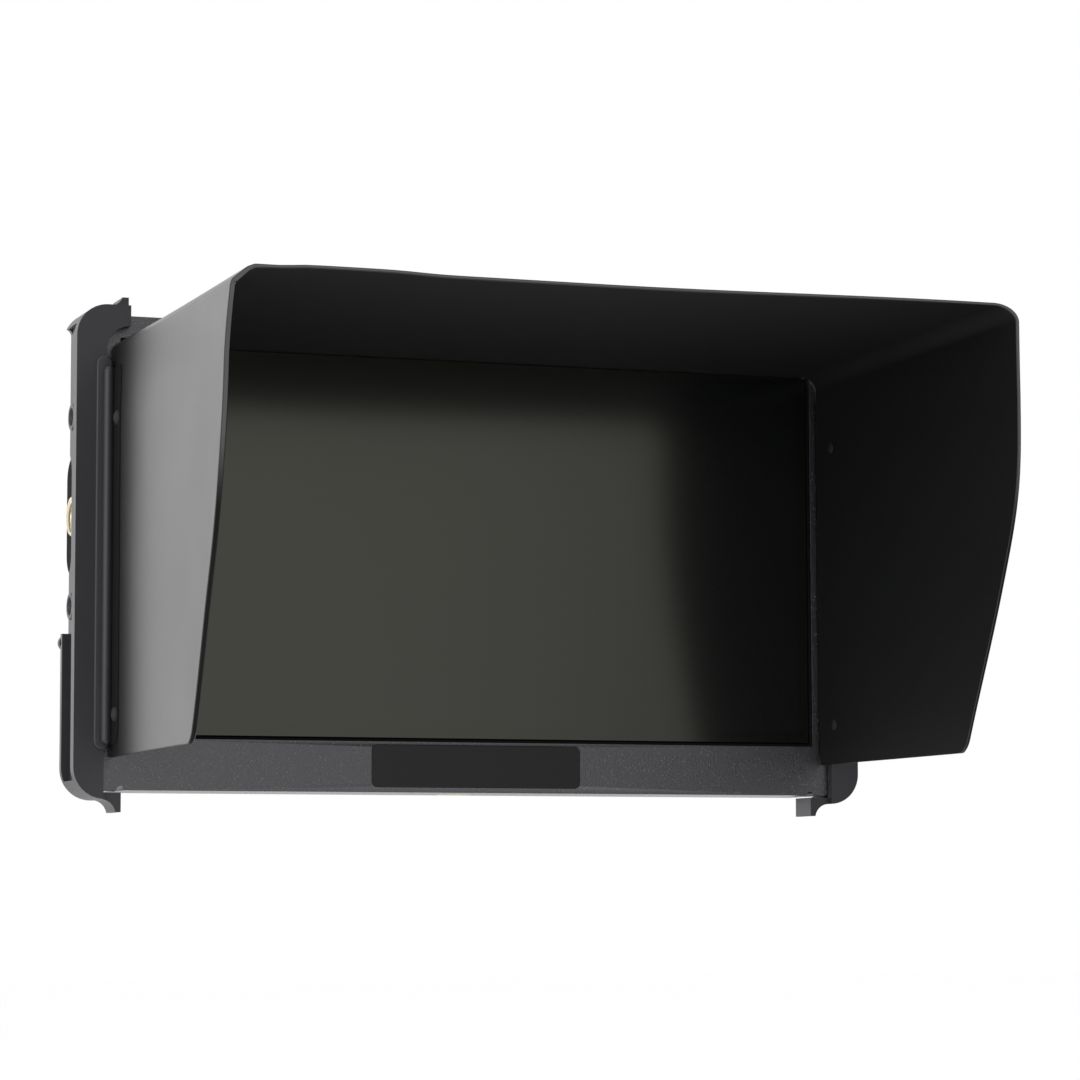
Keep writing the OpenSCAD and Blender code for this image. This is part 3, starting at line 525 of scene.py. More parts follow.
def shellFaces(rows, columns):
    # two equal grids back to back, and strips that join their four sides u0, u1, v0 and v1
    count = rows * columns
    number = np.arange(count).reshape(rows, columns)
    sides = {"u0": number[0], "u1": number[-1][::-1], "v0": number[:, 0][::-1], "v1": number[:, -1]}
    faces = gridFaces(rows, columns) + gridFaces(rows, columns, start=count, flip=True)
    for line in sides.values():
        faces += [[a, b, b + count, a + count] for a, b in zip(line[:-1], line[1:])]
    return faces, sides


tinyRadius = 0.001  # in millimetres, where a turned shape closes on its axis


def turned(profile, sides, axisFrame, ripple=None):
    # carries a (radius, height) profile in millimetres round an axis:
    # point = centre + radius (across cos t + up sin t) + height along
    # axisFrame is (centre, across, up, along); ripple(t, k) adds to the radius of profile point k
    centre, across, up, along = (np.array(v, float) for v in axisFrame)
    profile = np.array(profile, float) * mm
    t = np.linspace(0, 2 * math.pi, sides, endpoint=False)
    k, tt = np.meshgrid(np.arange(len(profile)), t, indexing="ij")
    radius = profile[k, 0]
    if ripple is not None:
        radius = radius + ripple(tt, k)
    points = (centre + radius[..., None] * (np.cos(tt)[..., None] * across + np.sin(tt)[..., None] * up)
              + profile[k, 1][..., None] * along)
    return points.reshape(-1, 3), gridFaces(len(profile), sides, closeColumns=True, flip=True)


def joinParts(parts):
    verts, faces, start = [], [], 0
    for v, f in parts:
        verts.append(np.asarray(v))
        faces += [[n + start for n in face] for face in f]
        start += len(v)
    return np.concatenate(verts), faces


hood = {
    # in millimetres, as in the CAD source, and degrees
    "thickness": {"left": 1.0, "top": 0.6, "right": 0.72, "leftLow": 0.95, "rightLow": 0.6},
    "slimming": (60, 54),  # a side thins below this height, over this length
    "leftBlend": (-66, 7),  # x where the top's thickness turns into the side's, and over what
    "rightBlend": (70, 4),
    "foldRadius": 3.6,
    "halfWidth": 73.3,
    "topZ": 85.1,
    "rear": 0.8,
    "depth": 86.0,
    "lowDepth": 63.6,  # depth along the bottom edge, before the corner is rounded
    "lowZ": 6.1,
    "slantTop": 51.5,  # where the slanted front edge meets the upright one
    "kinkSoftness": 3.0,
    "kinkAllowance": 0.15,
    "cornerRadius": 2.4,
    "cornerShare": 0.9,
    "flare": 0.8,
    "rise": 0.5,
    "lean": 0.95,  # how far the left side's top has sprung inwards at the front
    "leanZone": 13,  # height below the fold over which it leans
    "leanPower": 1.6,
    "topLift": 0.02,
    "rightRise": (0.8, -5, 70),  # height at the front, x of its start, length
    "leftHump": (0.38, -52, 13),  # height at the front, x of its middle, half width
    "bow": (0.33, 52, 13),  # outwards at the front: size, height of its middle, half height
    "tuck": (0.62, 34, 28),  # inwards at the front: size, height of its start, length down
    "belly": 0.6,  # outwards at mid depth
    "bulgeZone": 12,  # height below the fold over which the bulge dies out
    "creaseIn": 0.3,  # the left fold's crease, inwards at the front
    "creaseUp": (0.73, 1.45, 38.0),  # above the side, more at the bezel, depth over which that fades
    "browProbe": 5.3,
    "browDrop": (0.12, 0.4),  # the slope beside the crease: below the top, more at the front
    "browSlope": 1.2,
    "browRun": (1.3, 3.2),
    "browBlend": 4,
    "creaseSoftness": 0.5,
    "foldWidening": 1.6,  # of the round right fold, at the front
    "foldStraight": 1.05,
    "edge": 0.17,  # rounding along the cut edges
    "topSteps": (30, 60, 22, 45),  # round the left fold, over the top, round the right fold, forwards
    "sideSteps": (12, 60, 49),  # rows round the low corner and above it, and columns forwards
}


def smoothStep(t):
    # 3 t^2 - 2 t^3 between 0 and 1
    t = np.clip(t, 0, 1)
    return t * t * (3 - 2 * t)


def hoodLift(x, s):
    # height added to the sheet's top: a slow rise to the right and a hump at the left, growing forwards
    rise, start, length = hood["rightRise"]
    hump, middle, half = hood["leftHump"]
    rightRise = rise * smoothStep((x - start) / length)
    leftHump = hump * np.exp(-((x - middle) / half) ** 4)
    return (hood["topLift"] + rightRise + leftHump) * s / hood["depth"]


def sideBulge(z, s):
    # how far a side panel bows outwards: a little out at mid height, a little in at its low front
    out, middle, half = hood["bow"]
    back, start, length = hood["tuck"]
    bow = out * np.exp(-((z - middle) / half) ** 2)
    tuck = -back * smoothStep((start - z) / length)
    belly = hood["belly"] * np.sin(math.pi * np.clip(s / hood["depth"], 0, 1))
    return (bow + tuck) * smoothStep(s / hood["depth"]) + belly


def hoodFront(z):
    # depth of the front edge: the smooth minimum of the slant and the upright, less the rounded corner
    h = hood
    slant = h["lowDepth"] + (z - h["lowZ"]) * (h["depth"] - h["lowDepth"]) / (h["slantTop"] - h["lowZ"])
    soft = h["kinkSoftness"]
    front = -soft * np.log(np.exp(-slant / soft) + np.exp(-(h["depth"] + h["kinkAllowance"]) / soft))
    r = h["cornerRadius"]
    over = np.clip((h["lowZ"] + r - z) / r, 0, 1)
    return np.minimum(front, h["depth"]) - r * (1 - np.sqrt(1 - over ** 2)) * h["cornerShare"]


def hoodPoint(x, z, s):
    # from section place (x, z) at depth s in front of the bezel to the shared frame, in metres
    return np.stack([x, frontY / mm - s, z], -1) * mm


def sheetSolid(name, outer, inner, sharpEnds, node):
    # closes an outer and an inner grid into one sheet and rounds its free edges
    # sharpEnds lists the grid sides that meet another piece and stay square
    rows, columns = outer.shape[:2]
    count = rows * columns
    verts = np.concatenate([outer.reshape(-1, 3), inner.reshape(-1, 3)])
    faces, sides = shellFaces(rows, columns)
    mesh = bpy.data.meshes.new(name)
    mesh.from_pydata(verts.tolist(), [], faces)
    for finish in ("hoodSheet", "cutEdge", "hoodLining"):
        mesh.materials.append(materials[finish])
    cells = (rows - 1) * (columns - 1)
    zone = np.repeat([0, 2, 1], [cells, cells, len(faces) - 2 * cells])
    mesh.polygons.foreach_set("material_index", zone.astype(np.int32))
    piece = addObject(name, mesh)
    free = np.zeros(2 * count, int)
    for k, (label, line) in enumerate(sides.items()):
        if label not in sharpEnds:
            free[line] |= 1 << k
            free[line + count] |= 1 << k
    ends = np.empty(len(mesh.edges) * 2, int)
    mesh.edges.foreach_get("vertices", ends)
    ends = ends.reshape(-1, 2)
    sameSide = (free[ends[:, 0]] & free[ends[:, 1]]) > 0
    sameFace = (ends[:, 0] < count) == (ends[:, 1] < count)
    weight = mesh.attributes.new("bevel_weight_edge", "FLOAT", "EDGE")
    weight.data.foreach_set("value", (sameSide & sameFace).astype(np.float32))
    bevel = piece.modifiers.new("edges", "BEVEL")
    bevel.limit_method = "WEIGHT"
    bevel.width = hood["edge"] * mm
    bevel.segments = 3
    bevel.use_clamp_overlap = False
    bevel.harden_normals = True
    bevel.material = 0
    finishPiece(piece, node, meshing["sharpAngle"])
    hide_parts(node)


def sideEdge(side, s):
    # outer face of a side at the height where its fold begins, in section (x, z)
    h = hood
    half = h["halfWidth"] + s * math.tan(math.radians(h["flare"]))
    lean = h["lean"] * s / h["depth"] if side < 0 else 0.0
    return side * (half - lean), h["topZ"] - h["foldRadius"] + s * math.sin(math.radians(h["rise"]))


def roundedLine(corners, window, count):
    # even points along a polyline whose corners are rounded by a moving average of the given length
    fineCount = 1200
    corners = np.array(corners, float)
    steps = np.concatenate([[0], np.cumsum(np.linalg.norm(np.diff(corners, axis=0), axis=1))])
    fine = np.linspace(0, steps[-1], fineCount)
    line = np.stack([np.interp(fine, steps, corners[:, k]) for k in (0, 1)], 1)
    reach = max(1, int(window / steps[-1] * (fineCount // 2)))
    padded = np.concatenate([line[0] - (line[1] - line[0]) * np.arange(reach, 0, -1)[:, None], line,
                             line[-1] + (line[-1] - line[-2]) * np.arange(1, reach + 1)[:, None]])
    kernel = np.ones(2 * reach + 1) / (2 * reach + 1)
    line = np.stack([np.convolve(padded[:, k], kernel, "valid") for k in (0, 1)], 1)
    return line[np.linspace(0, fineCount - 1, count).round().astype(int)]


def hoodSection(s):
    # outer outline of the top at depth s: a creased left fold, a slightly uneven top, a round right fold
    h = hood
    leftSteps, topSteps, rightSteps = h["topSteps"][:3]
    k = s / h["depth"]
    xLeft, zLeft = sideEdge(-1, s)
    xRight, zRight = sideEdge(1, s)
    top = h["topZ"] + s * math.sin(math.radians(h["rise"]))
    up, extra, fade = h["creaseUp"]
    crease = np.array([xLeft + h["creaseIn"] * k, zLeft + up + extra * math.exp(-s / fade)])
    leftTop = top + hoodLift(xLeft + h["browProbe"], s)
    drop, frontDrop = h["browDrop"]
    high = leftTop - drop - frontDrop * k
    brow = np.array([crease[0] + h["browSlope"] * (high - crease[1]), high])
    flat = [(brow[0] + run, leftTop) for run in h["browRun"]]
    left = roundedLine([(xLeft, zLeft), crease, brow, *flat], h["creaseSoftness"], leftSteps)
    wide, straight = h["foldRadius"] + h["foldWidening"] * k, h["foldStraight"] * k
    rightTop = top + hoodLift(xRight - wide, s)
    angle = np.linspace(math.pi / 2, 0, rightSteps)
    right = np.stack([xRight - wide + wide * np.cos(angle),
                      zRight + straight + (rightTop - zRight - straight) * np.sin(angle)], 1)
    right = np.concatenate([right, [(xRight, zRight)]])
    x = np.linspace(left[-1, 0], right[0, 0], topSteps)[1:-1]
    blend = smoothStep((x - x[0]) / h["browBlend"])
    z = left[-1, 1] + (top + hoodLift(x, s) - left[-1, 1]) * blend
    return np.concatenate([left, np.stack([x, z], 1), right])


def inset(line):
    # moves a section line inwards along its normals by the sheet's thickness at each point
    tangent = np.gradient(line, axis=0)
    tangent /= np.linalg.norm(tangent, axis=1)[:, None]
    normal = np.stack([tangent[:, 1], -tangent[:, 0]], 1)
    normal[0], normal[-1] = (1, 0), (-1, 0)
    (leftX, leftRun), (rightX, rightRun) = hood["leftBlend"], hood["rightBlend"]
    atLeft = smoothStep((leftX - line[:, 0]) / leftRun)
    atRight = smoothStep((line[:, 0] - rightX) / rightRun)
    thickness = hood["thickness"]
    slim = thickness["top"] + (thickness["left"] - thickness["top"]) * atLeft
    slim = slim + (thickness["right"] - thickness["top"]) * atRight
    return line + normal * slim[:, None]


def buildHoodTop():
    # the section carried forwards, its outer outline and the same line moved in by the sheet
    depths = np.linspace(hood["rear"], hood["depth"], hood["topSteps"][3])
    lines = [hoodSection(s) for s in depths]
    grids = []
    for rows in (lines, [inset(line) for line in lines]):
        grids.append(np.stack([hoodPoint(row[:, 0], row[:, 1], np.full(len(row), s))
                               for row, s in zip(rows, depths)], 1))
    sheetSolid("hoodTopSheet", *grids, {"u0", "u1"}, "hood_top")


def sideSheet(side, z, s):
    # outer face (distance from the middle) and thickness of a side at its own height z and depth s
    h = hood
    upper = h["topZ"] - h["foldRadius"]
    lean = 0.0
    if side < 0:
        zone = h["leanZone"]
        lean = h["lean"] * s / h["depth"] * np.clip((z - upper + zone) / zone, 0, 1) ** h["leanPower"]
    half = h["halfWidth"] + s * math.tan(math.radians(h["flare"])) - lean
    fade = smoothStep((upper - z) / h["bulgeZone"])
    name = "left" if side < 0 else "right"
    full, low = h["thickness"][name], h["thickness"][name + "Low"]
    start, length = h["slimming"]
    return half + sideBulge(z, s) * fade, full - (full - low) * smoothStep((start - z) / length)


def buildHoodSide(side, node, name):
    # a grid of heights, close together round the low corner, by shares of the depth to the front edge
    h = hood
    upper, low, r = h["topZ"] - h["foldRadius"], h["lowZ"], h["cornerRadius"]
    cornerRows, rows, columns = h["sideSteps"]
    z = np.concatenate([low + r * (1 - np.cos(np.linspace(0, math.pi / 2, cornerRows))),
                        np.linspace(low + r, upper, rows)[1:]])
    zz, ss = np.meshgrid(z, np.linspace(0, 1, columns), indexing="ij")
    depth = h["rear"] + (hoodFront(zz) - h["rear"]) * ss
    heightShare = (zz - low) / (upper - low)
    zTilted = zz + heightShare * depth * math.sin(math.radians(h["rise"]))
    half, sheet = sideSheet(side, zz, depth)
    outer, inner = (hoodPoint(side * (half - offset), zTilted, depth) for offset in (0.0, sheet))
    if side > 0:
        outer, inner = outer[:, ::-1], inner[:, ::-1]
    sheetSolid(name, outer, inner, {"u1"}, node)


buildHoodTop()
buildHoodSide(-1, "hood_left_side", "hoodLeftSheet")
buildHoodSide(1, "hood_right_side", "hoodRightSheet")
print("hood built")

insert = {
    "radius": 3.9,
    "minorRadius": 2.62,
    "majorRadius": 3.12,
    "rim": 0.25,  # flat ring round the thread's mouth
    "pitch": 1.27,
    "length": 9.5,
    "threadLength": 8.0,
    "stepsPerTurn": 16,
    "leadIn": 0.3,
    "runOut": 0.8,
    "crest": 1.15,  # above 1, the thread's crest is flat
    "drillEnd": (0.1, 0.6),  # below the thread: start and tip of the drill's cone
    "knurls": 40,
    "knurlDepth": 0.16,
    "groove": (1.6, 1.75, 2.25, 2.4),
    "grooveDepth": 0.25,
    "chamfer": 0.35,
    "sides": (160, 96),  # steps round the outside and round the thread
    "sharpAngle": 30.0,
}


def buildInsert(node, mouth, along, across):
    # brass bush: knurled outside; inside r = minor + (major - minor) saw(height / pitch - t / 2 pi)
    s = insert
    along, across = np.array(along, float), np.array(across, float)
    axisFrame = (mouth, across, np.cross(along, across), along)
    r, c, length, thread = s["radius"], s["chamfer"], s["length"], s["threadLength"]
    minor, major, waist = s["minorRadius"], s["majorRadius"], s["radius"] - s["grooveDepth"]
    lip = (major + s["rim"], 0.0)
    outside = np.array([lip, (r - c, 0.0), (r, c), *zip((r, waist, waist, r), s["groove"]), (r, length - c),
                        (r - c, length), (tinyRadius, length)])
    heights = np.linspace(thread, s["leadIn"], s["stepsPerTurn"] * int(thread / s["pitch"]))
    drillStart, drillTip = s["drillEnd"]
    inside = np.array([(tinyRadius, thread + drillTip), (minor, thread + drillStart),
                       *((minor, h) for h in heights), lip])

    def knurl(t, k):
        wave = np.abs(((t * s["knurls"] / (2 * math.pi)) % 1.0) * 2 - 1)
        on = (outside[k, 0] >= r - 0.001) | (np.abs(outside[k, 0] - r + c) < 1e-6)
        return -s["knurlDepth"] * wave * on * mm

    def threadWave(t, k):
        h = inside[k, 1]
        phase = (h / s["pitch"] - t / (2 * math.pi)) % 1.0
        saw = np.clip(s["crest"] - 2 * s["crest"] * np.abs(phase - 0.5), 0, 1)
        fade = np.clip((thread - h) / s["runOut"], 0, 1) * np.clip(h / s["leadIn"], 0, 1)
        on = np.abs(inside[k, 0] - minor) < 1e-6
        return (major - minor) * saw * fade * on * mm

    around, aroundThread = s["sides"]
    verts, faces = joinParts([turned(outside, around, axisFrame, knurl),
                              turned(inside, aroundThread, axisFrame, threadWave)])
    piece = newPiece(node + "Threaded", verts, faces, "brass", node, s["sharpAngle"])
    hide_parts(node)


for node, along, across in (("left_thread_insert", (1, 0, 0), (0, 1, 0)),
                            ("right_thread_insert", (-1, 0, 0), (0, 1, 0)),
                            ("bottom_thread_insert", (0, 0, 1), (1, 0, 0))):
    low, high = (np.array(corner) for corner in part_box(node))
    mouth = (low + high) / 2
    axis = int(np.argmax(np.abs(along)))
    mouth[axis] = low[axis] if along[axis] > 0 else high[axis]
    buildInsert(node, mouth, along, across)
print("thread inserts built")

clip = {
    # x for the left clip, and distances in front of the bezel, in millimetres
    "slabX": (-76.7, -73.5),  # low raised slab round the bead's foot
    "slabDepth": (1.2, 2.75),
    "slabRounding": 0.42,
    "slabEnds": (-0.9, 2.4),  # beyond the leaf's ends
    "beadX": (-75.5, -73.32),
    "beadDepth": (1.0, 4.1),
    "beadRounding": 0.98,
    "beadEnds": (0.0, 0.4),
    "leafEnds": (-4.1, 8.6),  # beyond the rivets
    "leafDepth": (1.6, 9.5),
    "leafSkin": 0.16,  # above the hood's sheet
    "leafSunk": 0.1,  # below it
    "leafCorner": 0.9,
    "leafFilm": -0.02,  # where the CAD's leaf is cut back to
    "cutDepth": (2.32, 12.0),
    "cutOut": 3,
    "cutPast": 2,
    "grooveX": (-77.2, -75.0),  # the moulded groove that the slab fills
    "grooveDepth": (1.0, 2.3),
    "grooveEnds": (-1.1, 2.7),
    "edge": 0.25,
    "barSteps": (20, 7),  # round each end of a bar, and over its front edge
    "leafSteps": (30, 9),  # up the leaf and across it
}


def stadiumPrism(xRange, zRange, sRange, rounding):
    # a bar with round ends along z; its front edge is rounded by shrinking the outline as it comes forward
    (xLow, xHigh), (zLow, zHigh), (back, front) = xRange, zRange, sRange
    r, xMid = (xHigh - xLow) / 2, (xLow + xHigh) / 2
    endSteps, edgeSteps = clip["barSteps"]
    angle = np.linspace(0, math.pi, endSteps)
    outlines = [(r, back)]
    for lift in np.sin(np.linspace(0, math.pi / 2, edgeSteps)):
        shrink = rounding * (1 - math.cos(math.asin(min(1.0, lift))))
        outlines.append((r - shrink, front - rounding + rounding * lift))
    rings = []
    for rr, depth in outlines:
        x = np.concatenate([xMid + rr * np.cos(angle), xMid + rr * np.cos(angle + math.pi)])
        z = np.concatenate([zHigh - r + rr * np.sin(angle), zLow + r + rr * np.sin(angle + math.pi)])
        rings.append(hoodPoint(x, z, np.full(len(x), depth)))
    rings = np.array(rings)
    count = rings.shape[1]
    faces = gridFaces(len(rings), count, closeColumns=True)
    faces.append(list(range(count))[::-1])
    faces.append([n + (len(rings) - 1) * count for n in range(count)])
    return rings.reshape(-1, 3), faces


def leafCutter(zLow, zHigh):
    # the space outside the riveted leaf, in front of the bead
    def foot(depth):
        return -(hood["halfWidth"] + depth * math.tan(math.radians(hood["flare"])) + clip["leafFilm"])
    (near, far), out, past = clip["cutDepth"], clip["cutOut"], clip["cutPast"]
    corners = [(foot(near), near), (foot(far), far), (foot(far) - out, far), (foot(near) - out, near)]
    verts = [hoodPoint(x, z, d) for z in (zLow - past, zHigh + past) for x, d in corners]
    faces = [[0, 1, 2, 3], [4, 5, 6, 7]] + [[k, (k + 1) % 4, (k + 1) % 4 + 4, k + 4] for k in range(4)]
    return np.array(verts), faces


def boxSolid(low, high):
    # corner k of the box takes its high x, y or z where bit 0, 1 or 2 of k is set
    verts = np.array([[(low, high)[(k >> a) & 1][a] for a in range(3)] for k in range(8)])
    return verts, [[0, 2, 3, 1], [4, 5, 7, 6], [0, 1, 5, 4], [2, 6, 7, 3], [0, 4, 6, 2], [1, 3, 7, 5]]


def trimmedCopy(node, name, changes):
    # the CAD node's mesh with solids added (UNION) or cut away (DIFFERENCE), as a plain mesh
    piece = addObject(name, frame["nodes"][node].data.copy())
    mergeMesh(piece.data)
    tools = []
    for operation, verts, faces in changes:
        tool = addObject("cutter", bpy.data.meshes.new("cutter"))
        tool.data.from_pydata(verts.tolist(), [], faces)
        outward(tool.data)
        tools.append(tool)
        cut = piece.modifiers.new(operation, "BOOLEAN")
        cut.operation = operation
        cut.solver = "EXACT"
        cut.object = tool
    bpy.context.view_layer.update()
    done = bpy.data.meshes.new_from_object(piece.evaluated_get(bpy.context.evaluated_depsgraph_get()))
    piece.modifiers.clear()
    piece.data = done
    for tool in tools:
        bpy.data.objects.remove(tool)
    mergeMesh(done)
    return piece


def buildLeaf(node, side, zLow, zHigh, name):
    # the leaf's thin skin, matt and near-black as painted shade beside the bead: a grid sunk into the side's
    # outer face, closed by the same grid moved outwards
    back, front = clip["leafDepth"]
    r = clip["leafCorner"]
    rows, columns = clip["leafSteps"]
    zz, share = np.meshgrid(np.linspace(zLow, zHigh, rows), np.linspace(0, 1, columns), indexing="ij")
    near = np.minimum(zz - zLow, zHigh - zz)
    ends = front - r * (1 - np.sqrt(1 - np.clip(1 - near / r, 0, 1) ** 2))
    ss = back + (ends - back) * share
    half = sideSheet(side, zz, ss)[0]
    layers = [hoodPoint(side * (half + step), zz, ss).reshape(-1, 3)
              for step in (-clip["leafSunk"], clip["leafSkin"])]
    newPiece(name, np.concatenate(layers), shellFaces(*zz.shape)[0], "leafPaintedShade", node)


boss = {
    "outer": 2.6,
    "bore": 1.7,
    "foot": 77.9,  # distances from the middle of the monitor
    "top": 80.0,
    "depth": 4.0,  # behind the bezel's face
    "spacing": 18.0,  # above and below the side thread
    "soft": 0.15,
    "sides": 40,
}


def buildBosses(node, side, name):
    # the two tubular bosses in the web's holes: a turned ring each
    outer, bore, top, foot, soft = (boss[k] for k in ("outer", "bore", "top", "foot", "soft"))
    ring = [(outer, foot), (outer, top - soft), (outer - soft, top), (bore + soft, top), (bore, top - soft),
            (bore, foot), (outer, foot)]
    low, high = (np.array(corner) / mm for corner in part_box("left_thread_insert"))
    middle = (low[2] + high[2]) / 2
    parts = []
    for z in (middle - boss["spacing"], middle + boss["spacing"]):
        centre = hoodPoint(0.0, z, -boss["depth"])
        parts.append(turned(ring, boss["sides"], (centre, (0, 1, 0), (0, 0, 1), (side, 0, 0))))
    newPiece(name, *joinParts(parts), "clipMoulding", node)


def buildClip(node, rivets, side, name):
    # the CAD clip with its groove filled and its leaf cut back, and a slab, bead, leaf skin in painted shade
    # and bosses on it
    low, high = (np.array(corner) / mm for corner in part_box(rivets))
    zLow, zHigh = low[2] + clip["leafEnds"][0], high[2] + clip["leafEnds"][1]
    flip = np.array([-side, 1, 1])

    def reach(part):
        return zLow + clip[part][0], zHigh + clip[part][1]

    (xLow, xHigh), (back, front) = clip["grooveX"], clip["grooveDepth"]
    plugLow, plugHigh = reach("grooveEnds")
    plug, plugFaces = boxSolid(hoodPoint(xLow, plugLow, front), hoodPoint(xHigh, plugHigh, back))
    cutter, cutterFaces = leafCutter(zLow, zHigh)
    piece = trimmedCopy(node, name, [("UNION", plug * flip, plugFaces),
                                     ("DIFFERENCE", cutter * flip, cutterFaces)])
    addBevel(piece, clip["edge"] * mm)
    finishPiece(piece, node, meshing["softSharpAngle"])
    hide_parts(node)
    parts = [stadiumPrism(clip[k + "X"], reach(k + "Ends"), clip[k + "Depth"], clip[k + "Rounding"])
             for k in ("slab", "bead")]
    verts, faces = joinParts(parts)
    newPiece(name + "Bead", verts * flip, faces, "clipMoulding", node)
    buildLeaf(node, side, zLow, zHigh, name + "Leaf")
    buildBosses(node, side, name + "Bosses")


rivet = {
    "radius": 1.4,
    "shank": 0.9,
    "dome": 0.75,
    "innerRadius": 1.05,
    "innerDome": 0.22,
    "steps": (7, 32),  # over a dome and round it
}


def buildRivets(node, side):
    # domed heads outside and inside the hood's side, joined by a shank, where the CAD node has them
    r, innerRadius, shank = rivet["radius"], rivet["innerRadius"], rivet["shank"]
    domeSteps, around = rivet["steps"]
    angle = np.linspace(0, math.pi / 2, domeSteps)
    low, high = (np.array(corner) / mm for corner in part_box(node))
    depth = frontY / mm - (low[1] + high[1]) / 2
    parts = []
    for z in (low[2] + r, high[2] - r):
        half, sheet = (float(v) for v in sideSheet(side, z, depth))
        outer = [(max(r * math.sin(a), tinyRadius), clip["leafSkin"] + rivet["dome"] * math.cos(a))
                 for a in angle]
        inner = [(max(innerRadius * math.sin(a), tinyRadius), -sheet - rivet["innerDome"] * math.cos(a))
                 for a in angle[::-1]]
        axisFrame = (hoodPoint(side * half, z, depth), (0, 1, 0), (0, 0, 1), (side, 0, 0))
        parts.append(turned(outer + [(shank, 0.0), (shank, -sheet)] + inner, around, axisFrame))
    verts, faces = joinParts(parts)
    piece = newPiece(node + "Domed", verts, faces, "rivetCap", node)
    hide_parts(node)


buildClip("left_clip", "left_rivets", -1, "leftClipMoulding")
buildClip("right_clip", "right_rivets", 1, "rightClipMoulding")
buildRivets("left_rivets", -1)
buildRivets("right_rivets", 1)
print("clips built")

# CAD pieces that show, and how far their edges are rounded, in millimetres
softEdges = {
    "front_bezel": 0.16, "cover_glass": 0.08, "rear_cover": 0.18, "badge_plate": 0.10,
    "left_mount_block": 0.2, "right_mount_block": 0.2, "battery_plate": 0.22, "battery_catch": 0.3,
    "battery_contacts": 0.15, "power_button": 0.12, "menu_button": 0.12, "left_button": 0.12,
    "right_button": 0.12, "hdmi_in_socket": 0.1, "hdmi_out_socket": 0.1, "usb_socket": 0.08,
    "dc_jack": 0.12, "headphone_jack": 0.12, "glass_seal": 0.06,
}
cadArcs = {"glass_seal": 2.0, "cover_glass": 1.5}  # corner radii round the glass in the CAD
tightArc = 0.35  # and as they show
arcTolerance = 0.03  # how far off the arc a corner's point may lie


def squareCorners(mesh, box, radius, tight):
    # pulls the corner arcs of one upright rounded rectangle out to a smaller radius
    co = np.empty(len(mesh.vertices) * 3)
    mesh.vertices.foreach_get("co", co)
    co = co.reshape(-1, 3)
    middle = (box[0] + box[1]) / 2
    sign = np.sign(co[:, [0, 2]] - middle[[0, 2]])
    corner = middle[[0, 2]] + sign * (box[1] - box[0])[[0, 2]] / 2
    centre = corner - sign * radius
    arm = co[:, [0, 2]] - centre
    onArc = np.abs(np.linalg.norm(arm, axis=1) - radius) < arcTolerance * mm
    onArc &= ((arm * sign) > -1e-6).all(1)
    moved = corner - sign * tight + arm * tight / radius
    co[:, [0, 2]] = np.where(onArc[:, None], moved, co[:, [0, 2]])
    mesh.vertices.foreach_set("co", co.ravel())


def softened(nodeName, radius):
    # the CAD node's own shape with its sharp edges rounded to a small radius
    piece = addObject(nodeName + "Soft", frame["nodes"][nodeName].data.copy())
    if nodeName in ("front_bezel", "glass_seal", "cover_glass"):
        for owner, arc in cadArcs.items():
            squareCorners(piece.data, np.array(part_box(owner)), arc * mm, tightArc * mm)
    mergeMesh(piece.data)
    addBevel(piece, radius)
    finishPiece(piece, nodeName, meshing["softSharpAngle"])
    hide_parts(nodeName)


for nodeName, radius in softEdges.items():
    softened(nodeName, radius * mm)
print("softened pieces:", len(softEdges))

studio = {
    "worldStrength": 1.04,
    # the surroundings darken towards this side, in degrees to the right of the way the screen faces
    "shadeSide": 60.0,
    "shadeRange": (0.745, 0.865),  # cosines of the angle from that side where it starts and is full
    "shadeTone": 0.12,
    "floorZ": -0.16,
    "floorSize": 6.0,
    "floorTone": 0.93,  # as the object sees it; the camera sees white
    "lampAim": (0, -0.03, 0.045),
    # softboxes: place, size and radiance added to the white surroundings
    "lamps": {
        "behindLeft": ((-1.1, 1.5, 0.35), 1.7, 0.66),
        "frontLeft": ((-0.95, -0.85, 0.25), 0.8, 1.8),
    },
}


def addLamp(name, place, size, radiance):
    # a square lamp of side a and radiance L gives off pi a^2 L watts
    data = bpy.data.lights.new(name, "AREA")
    data.size = size
    data.energy = math.pi * size * size * radiance
    lamp = addObject(name, data)
    lamp.location = place
    lamp.rotation_euler = (Vector(studio["lampAim"]) - Vector(place)).to_track_quat("-Z", "Y").to_euler()
    lamp.visible_camera = False


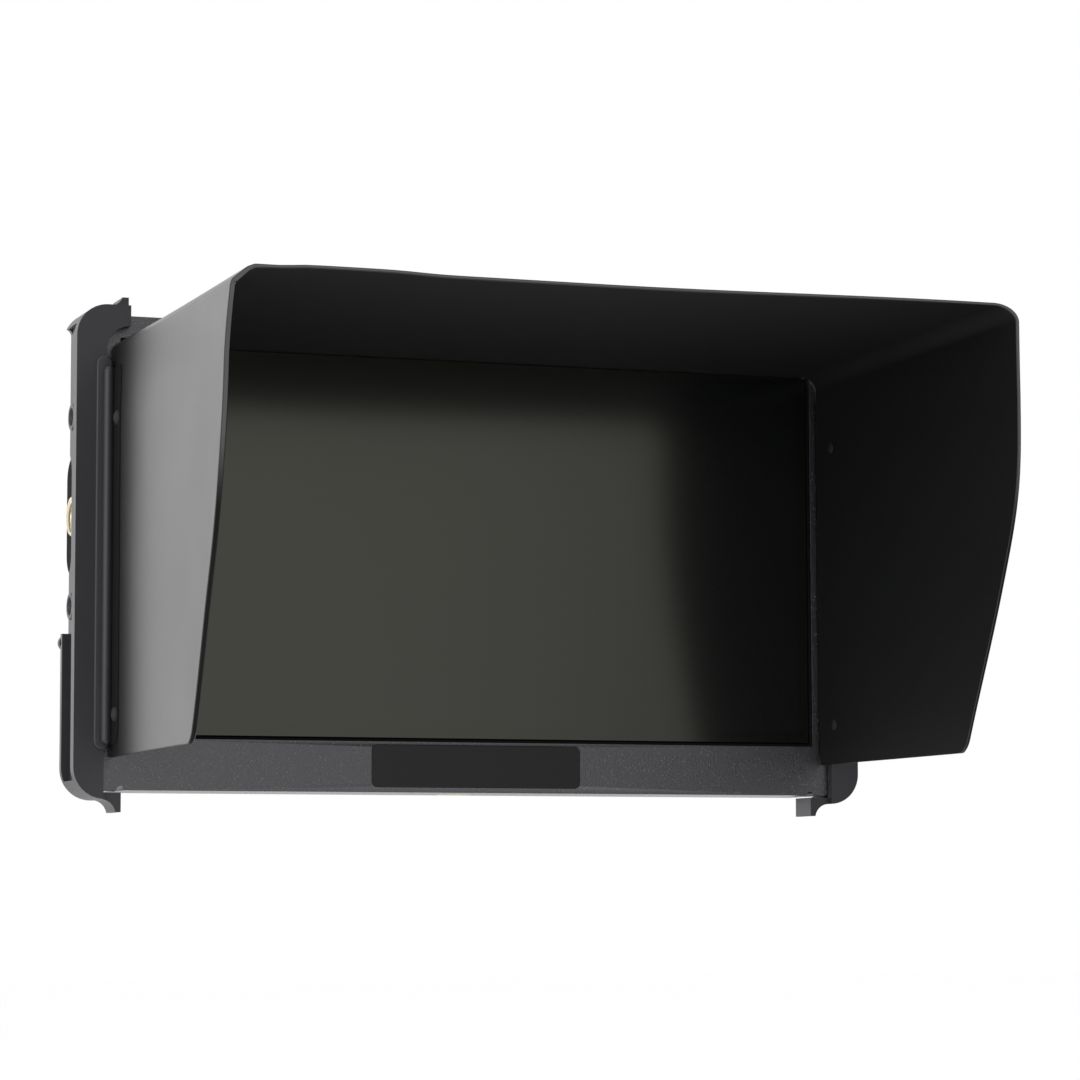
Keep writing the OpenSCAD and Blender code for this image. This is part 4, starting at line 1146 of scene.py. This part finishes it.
def sideTone(tree, vector):
    side = math.radians(studio["shadeSide"])
    start, full = studio["shadeRange"]
    return placeGroup(tree, shadeGroup, Vector=vector, Side=(math.sin(side), -math.cos(side), 0.0),
                      Start=start, Full=full, Tone=studio["shadeTone"]).outputs["Value"]


def cameraRay(tree):
    return tree.nodes.new("ShaderNodeLightPath").outputs["Is Camera Ray"]


def buildWorld():
    # white to the camera, and shaded on one side to the object
    world = bpy.data.worlds.new("world")
    world.use_nodes = True
    tree = world.node_tree
    plain = tree.nodes["Background"]
    plain.inputs["Color"].default_value = (1, 1, 1, 1)
    tone = sideTone(tree, tree.nodes.new("ShaderNodeTexCoord").outputs["Generated"])
    feed(tree, plain.inputs["Strength"], mathNode(tree, "MULTIPLY", tone, studio["worldStrength"]))
    seen = tree.nodes.new("ShaderNodeBackground")
    seen.inputs["Color"].default_value = (1, 1, 1, 1)
    seen.inputs["Strength"].default_value = 1.0
    mix = tree.nodes.new("ShaderNodeMixShader")
    for k, value in enumerate((cameraRay(tree), plain.outputs[0], seen.outputs[0])):
        feed(tree, mix.inputs[k], value)
    feed(tree, tree.nodes["World Output"].inputs["Surface"], mix.outputs[0])
    bpy.context.scene.world = world


def buildFloor():
    # white to the camera, and to the object a pale tone with painted shade, darker on the same side as the
    # shaded surroundings
    reach, level = studio["floorSize"], studio["floorZ"]
    mesh = bpy.data.meshes.new("floor")
    mesh.from_pydata([(x * reach, y * reach, level) for x, y in ((-1, -1), (1, -1), (1, 1), (-1, 1))], [],
                     [(0, 1, 2, 3)])
    floor = addObject("floor", mesh)
    mat, tree, shader = newMaterial("paleFloor")
    tone = mathNode(tree, "MULTIPLY", sideTone(tree, objectVector(tree)), studio["floorTone"])
    dim = tree.nodes.new("ShaderNodeCombineColor")
    for channel in dim.inputs:
        feed(tree, channel, tone)
    color = mixNode(tree, cameraRay(tree), dim.outputs["Color"], (1, 1, 1, 1))
    feed(tree, shader.inputs["Base Color"], color)
    shader.inputs["Roughness"].default_value = 1.0
    shader.inputs["Specular IOR Level"].default_value = 0.0
    mesh.materials.append(mat)


buildWorld()
for name, lamp in studio["lamps"].items():
    addLamp(name, *lamp)
buildFloor()
bpy.context.scene.view_settings.view_transform = "Standard"
print("studio built")
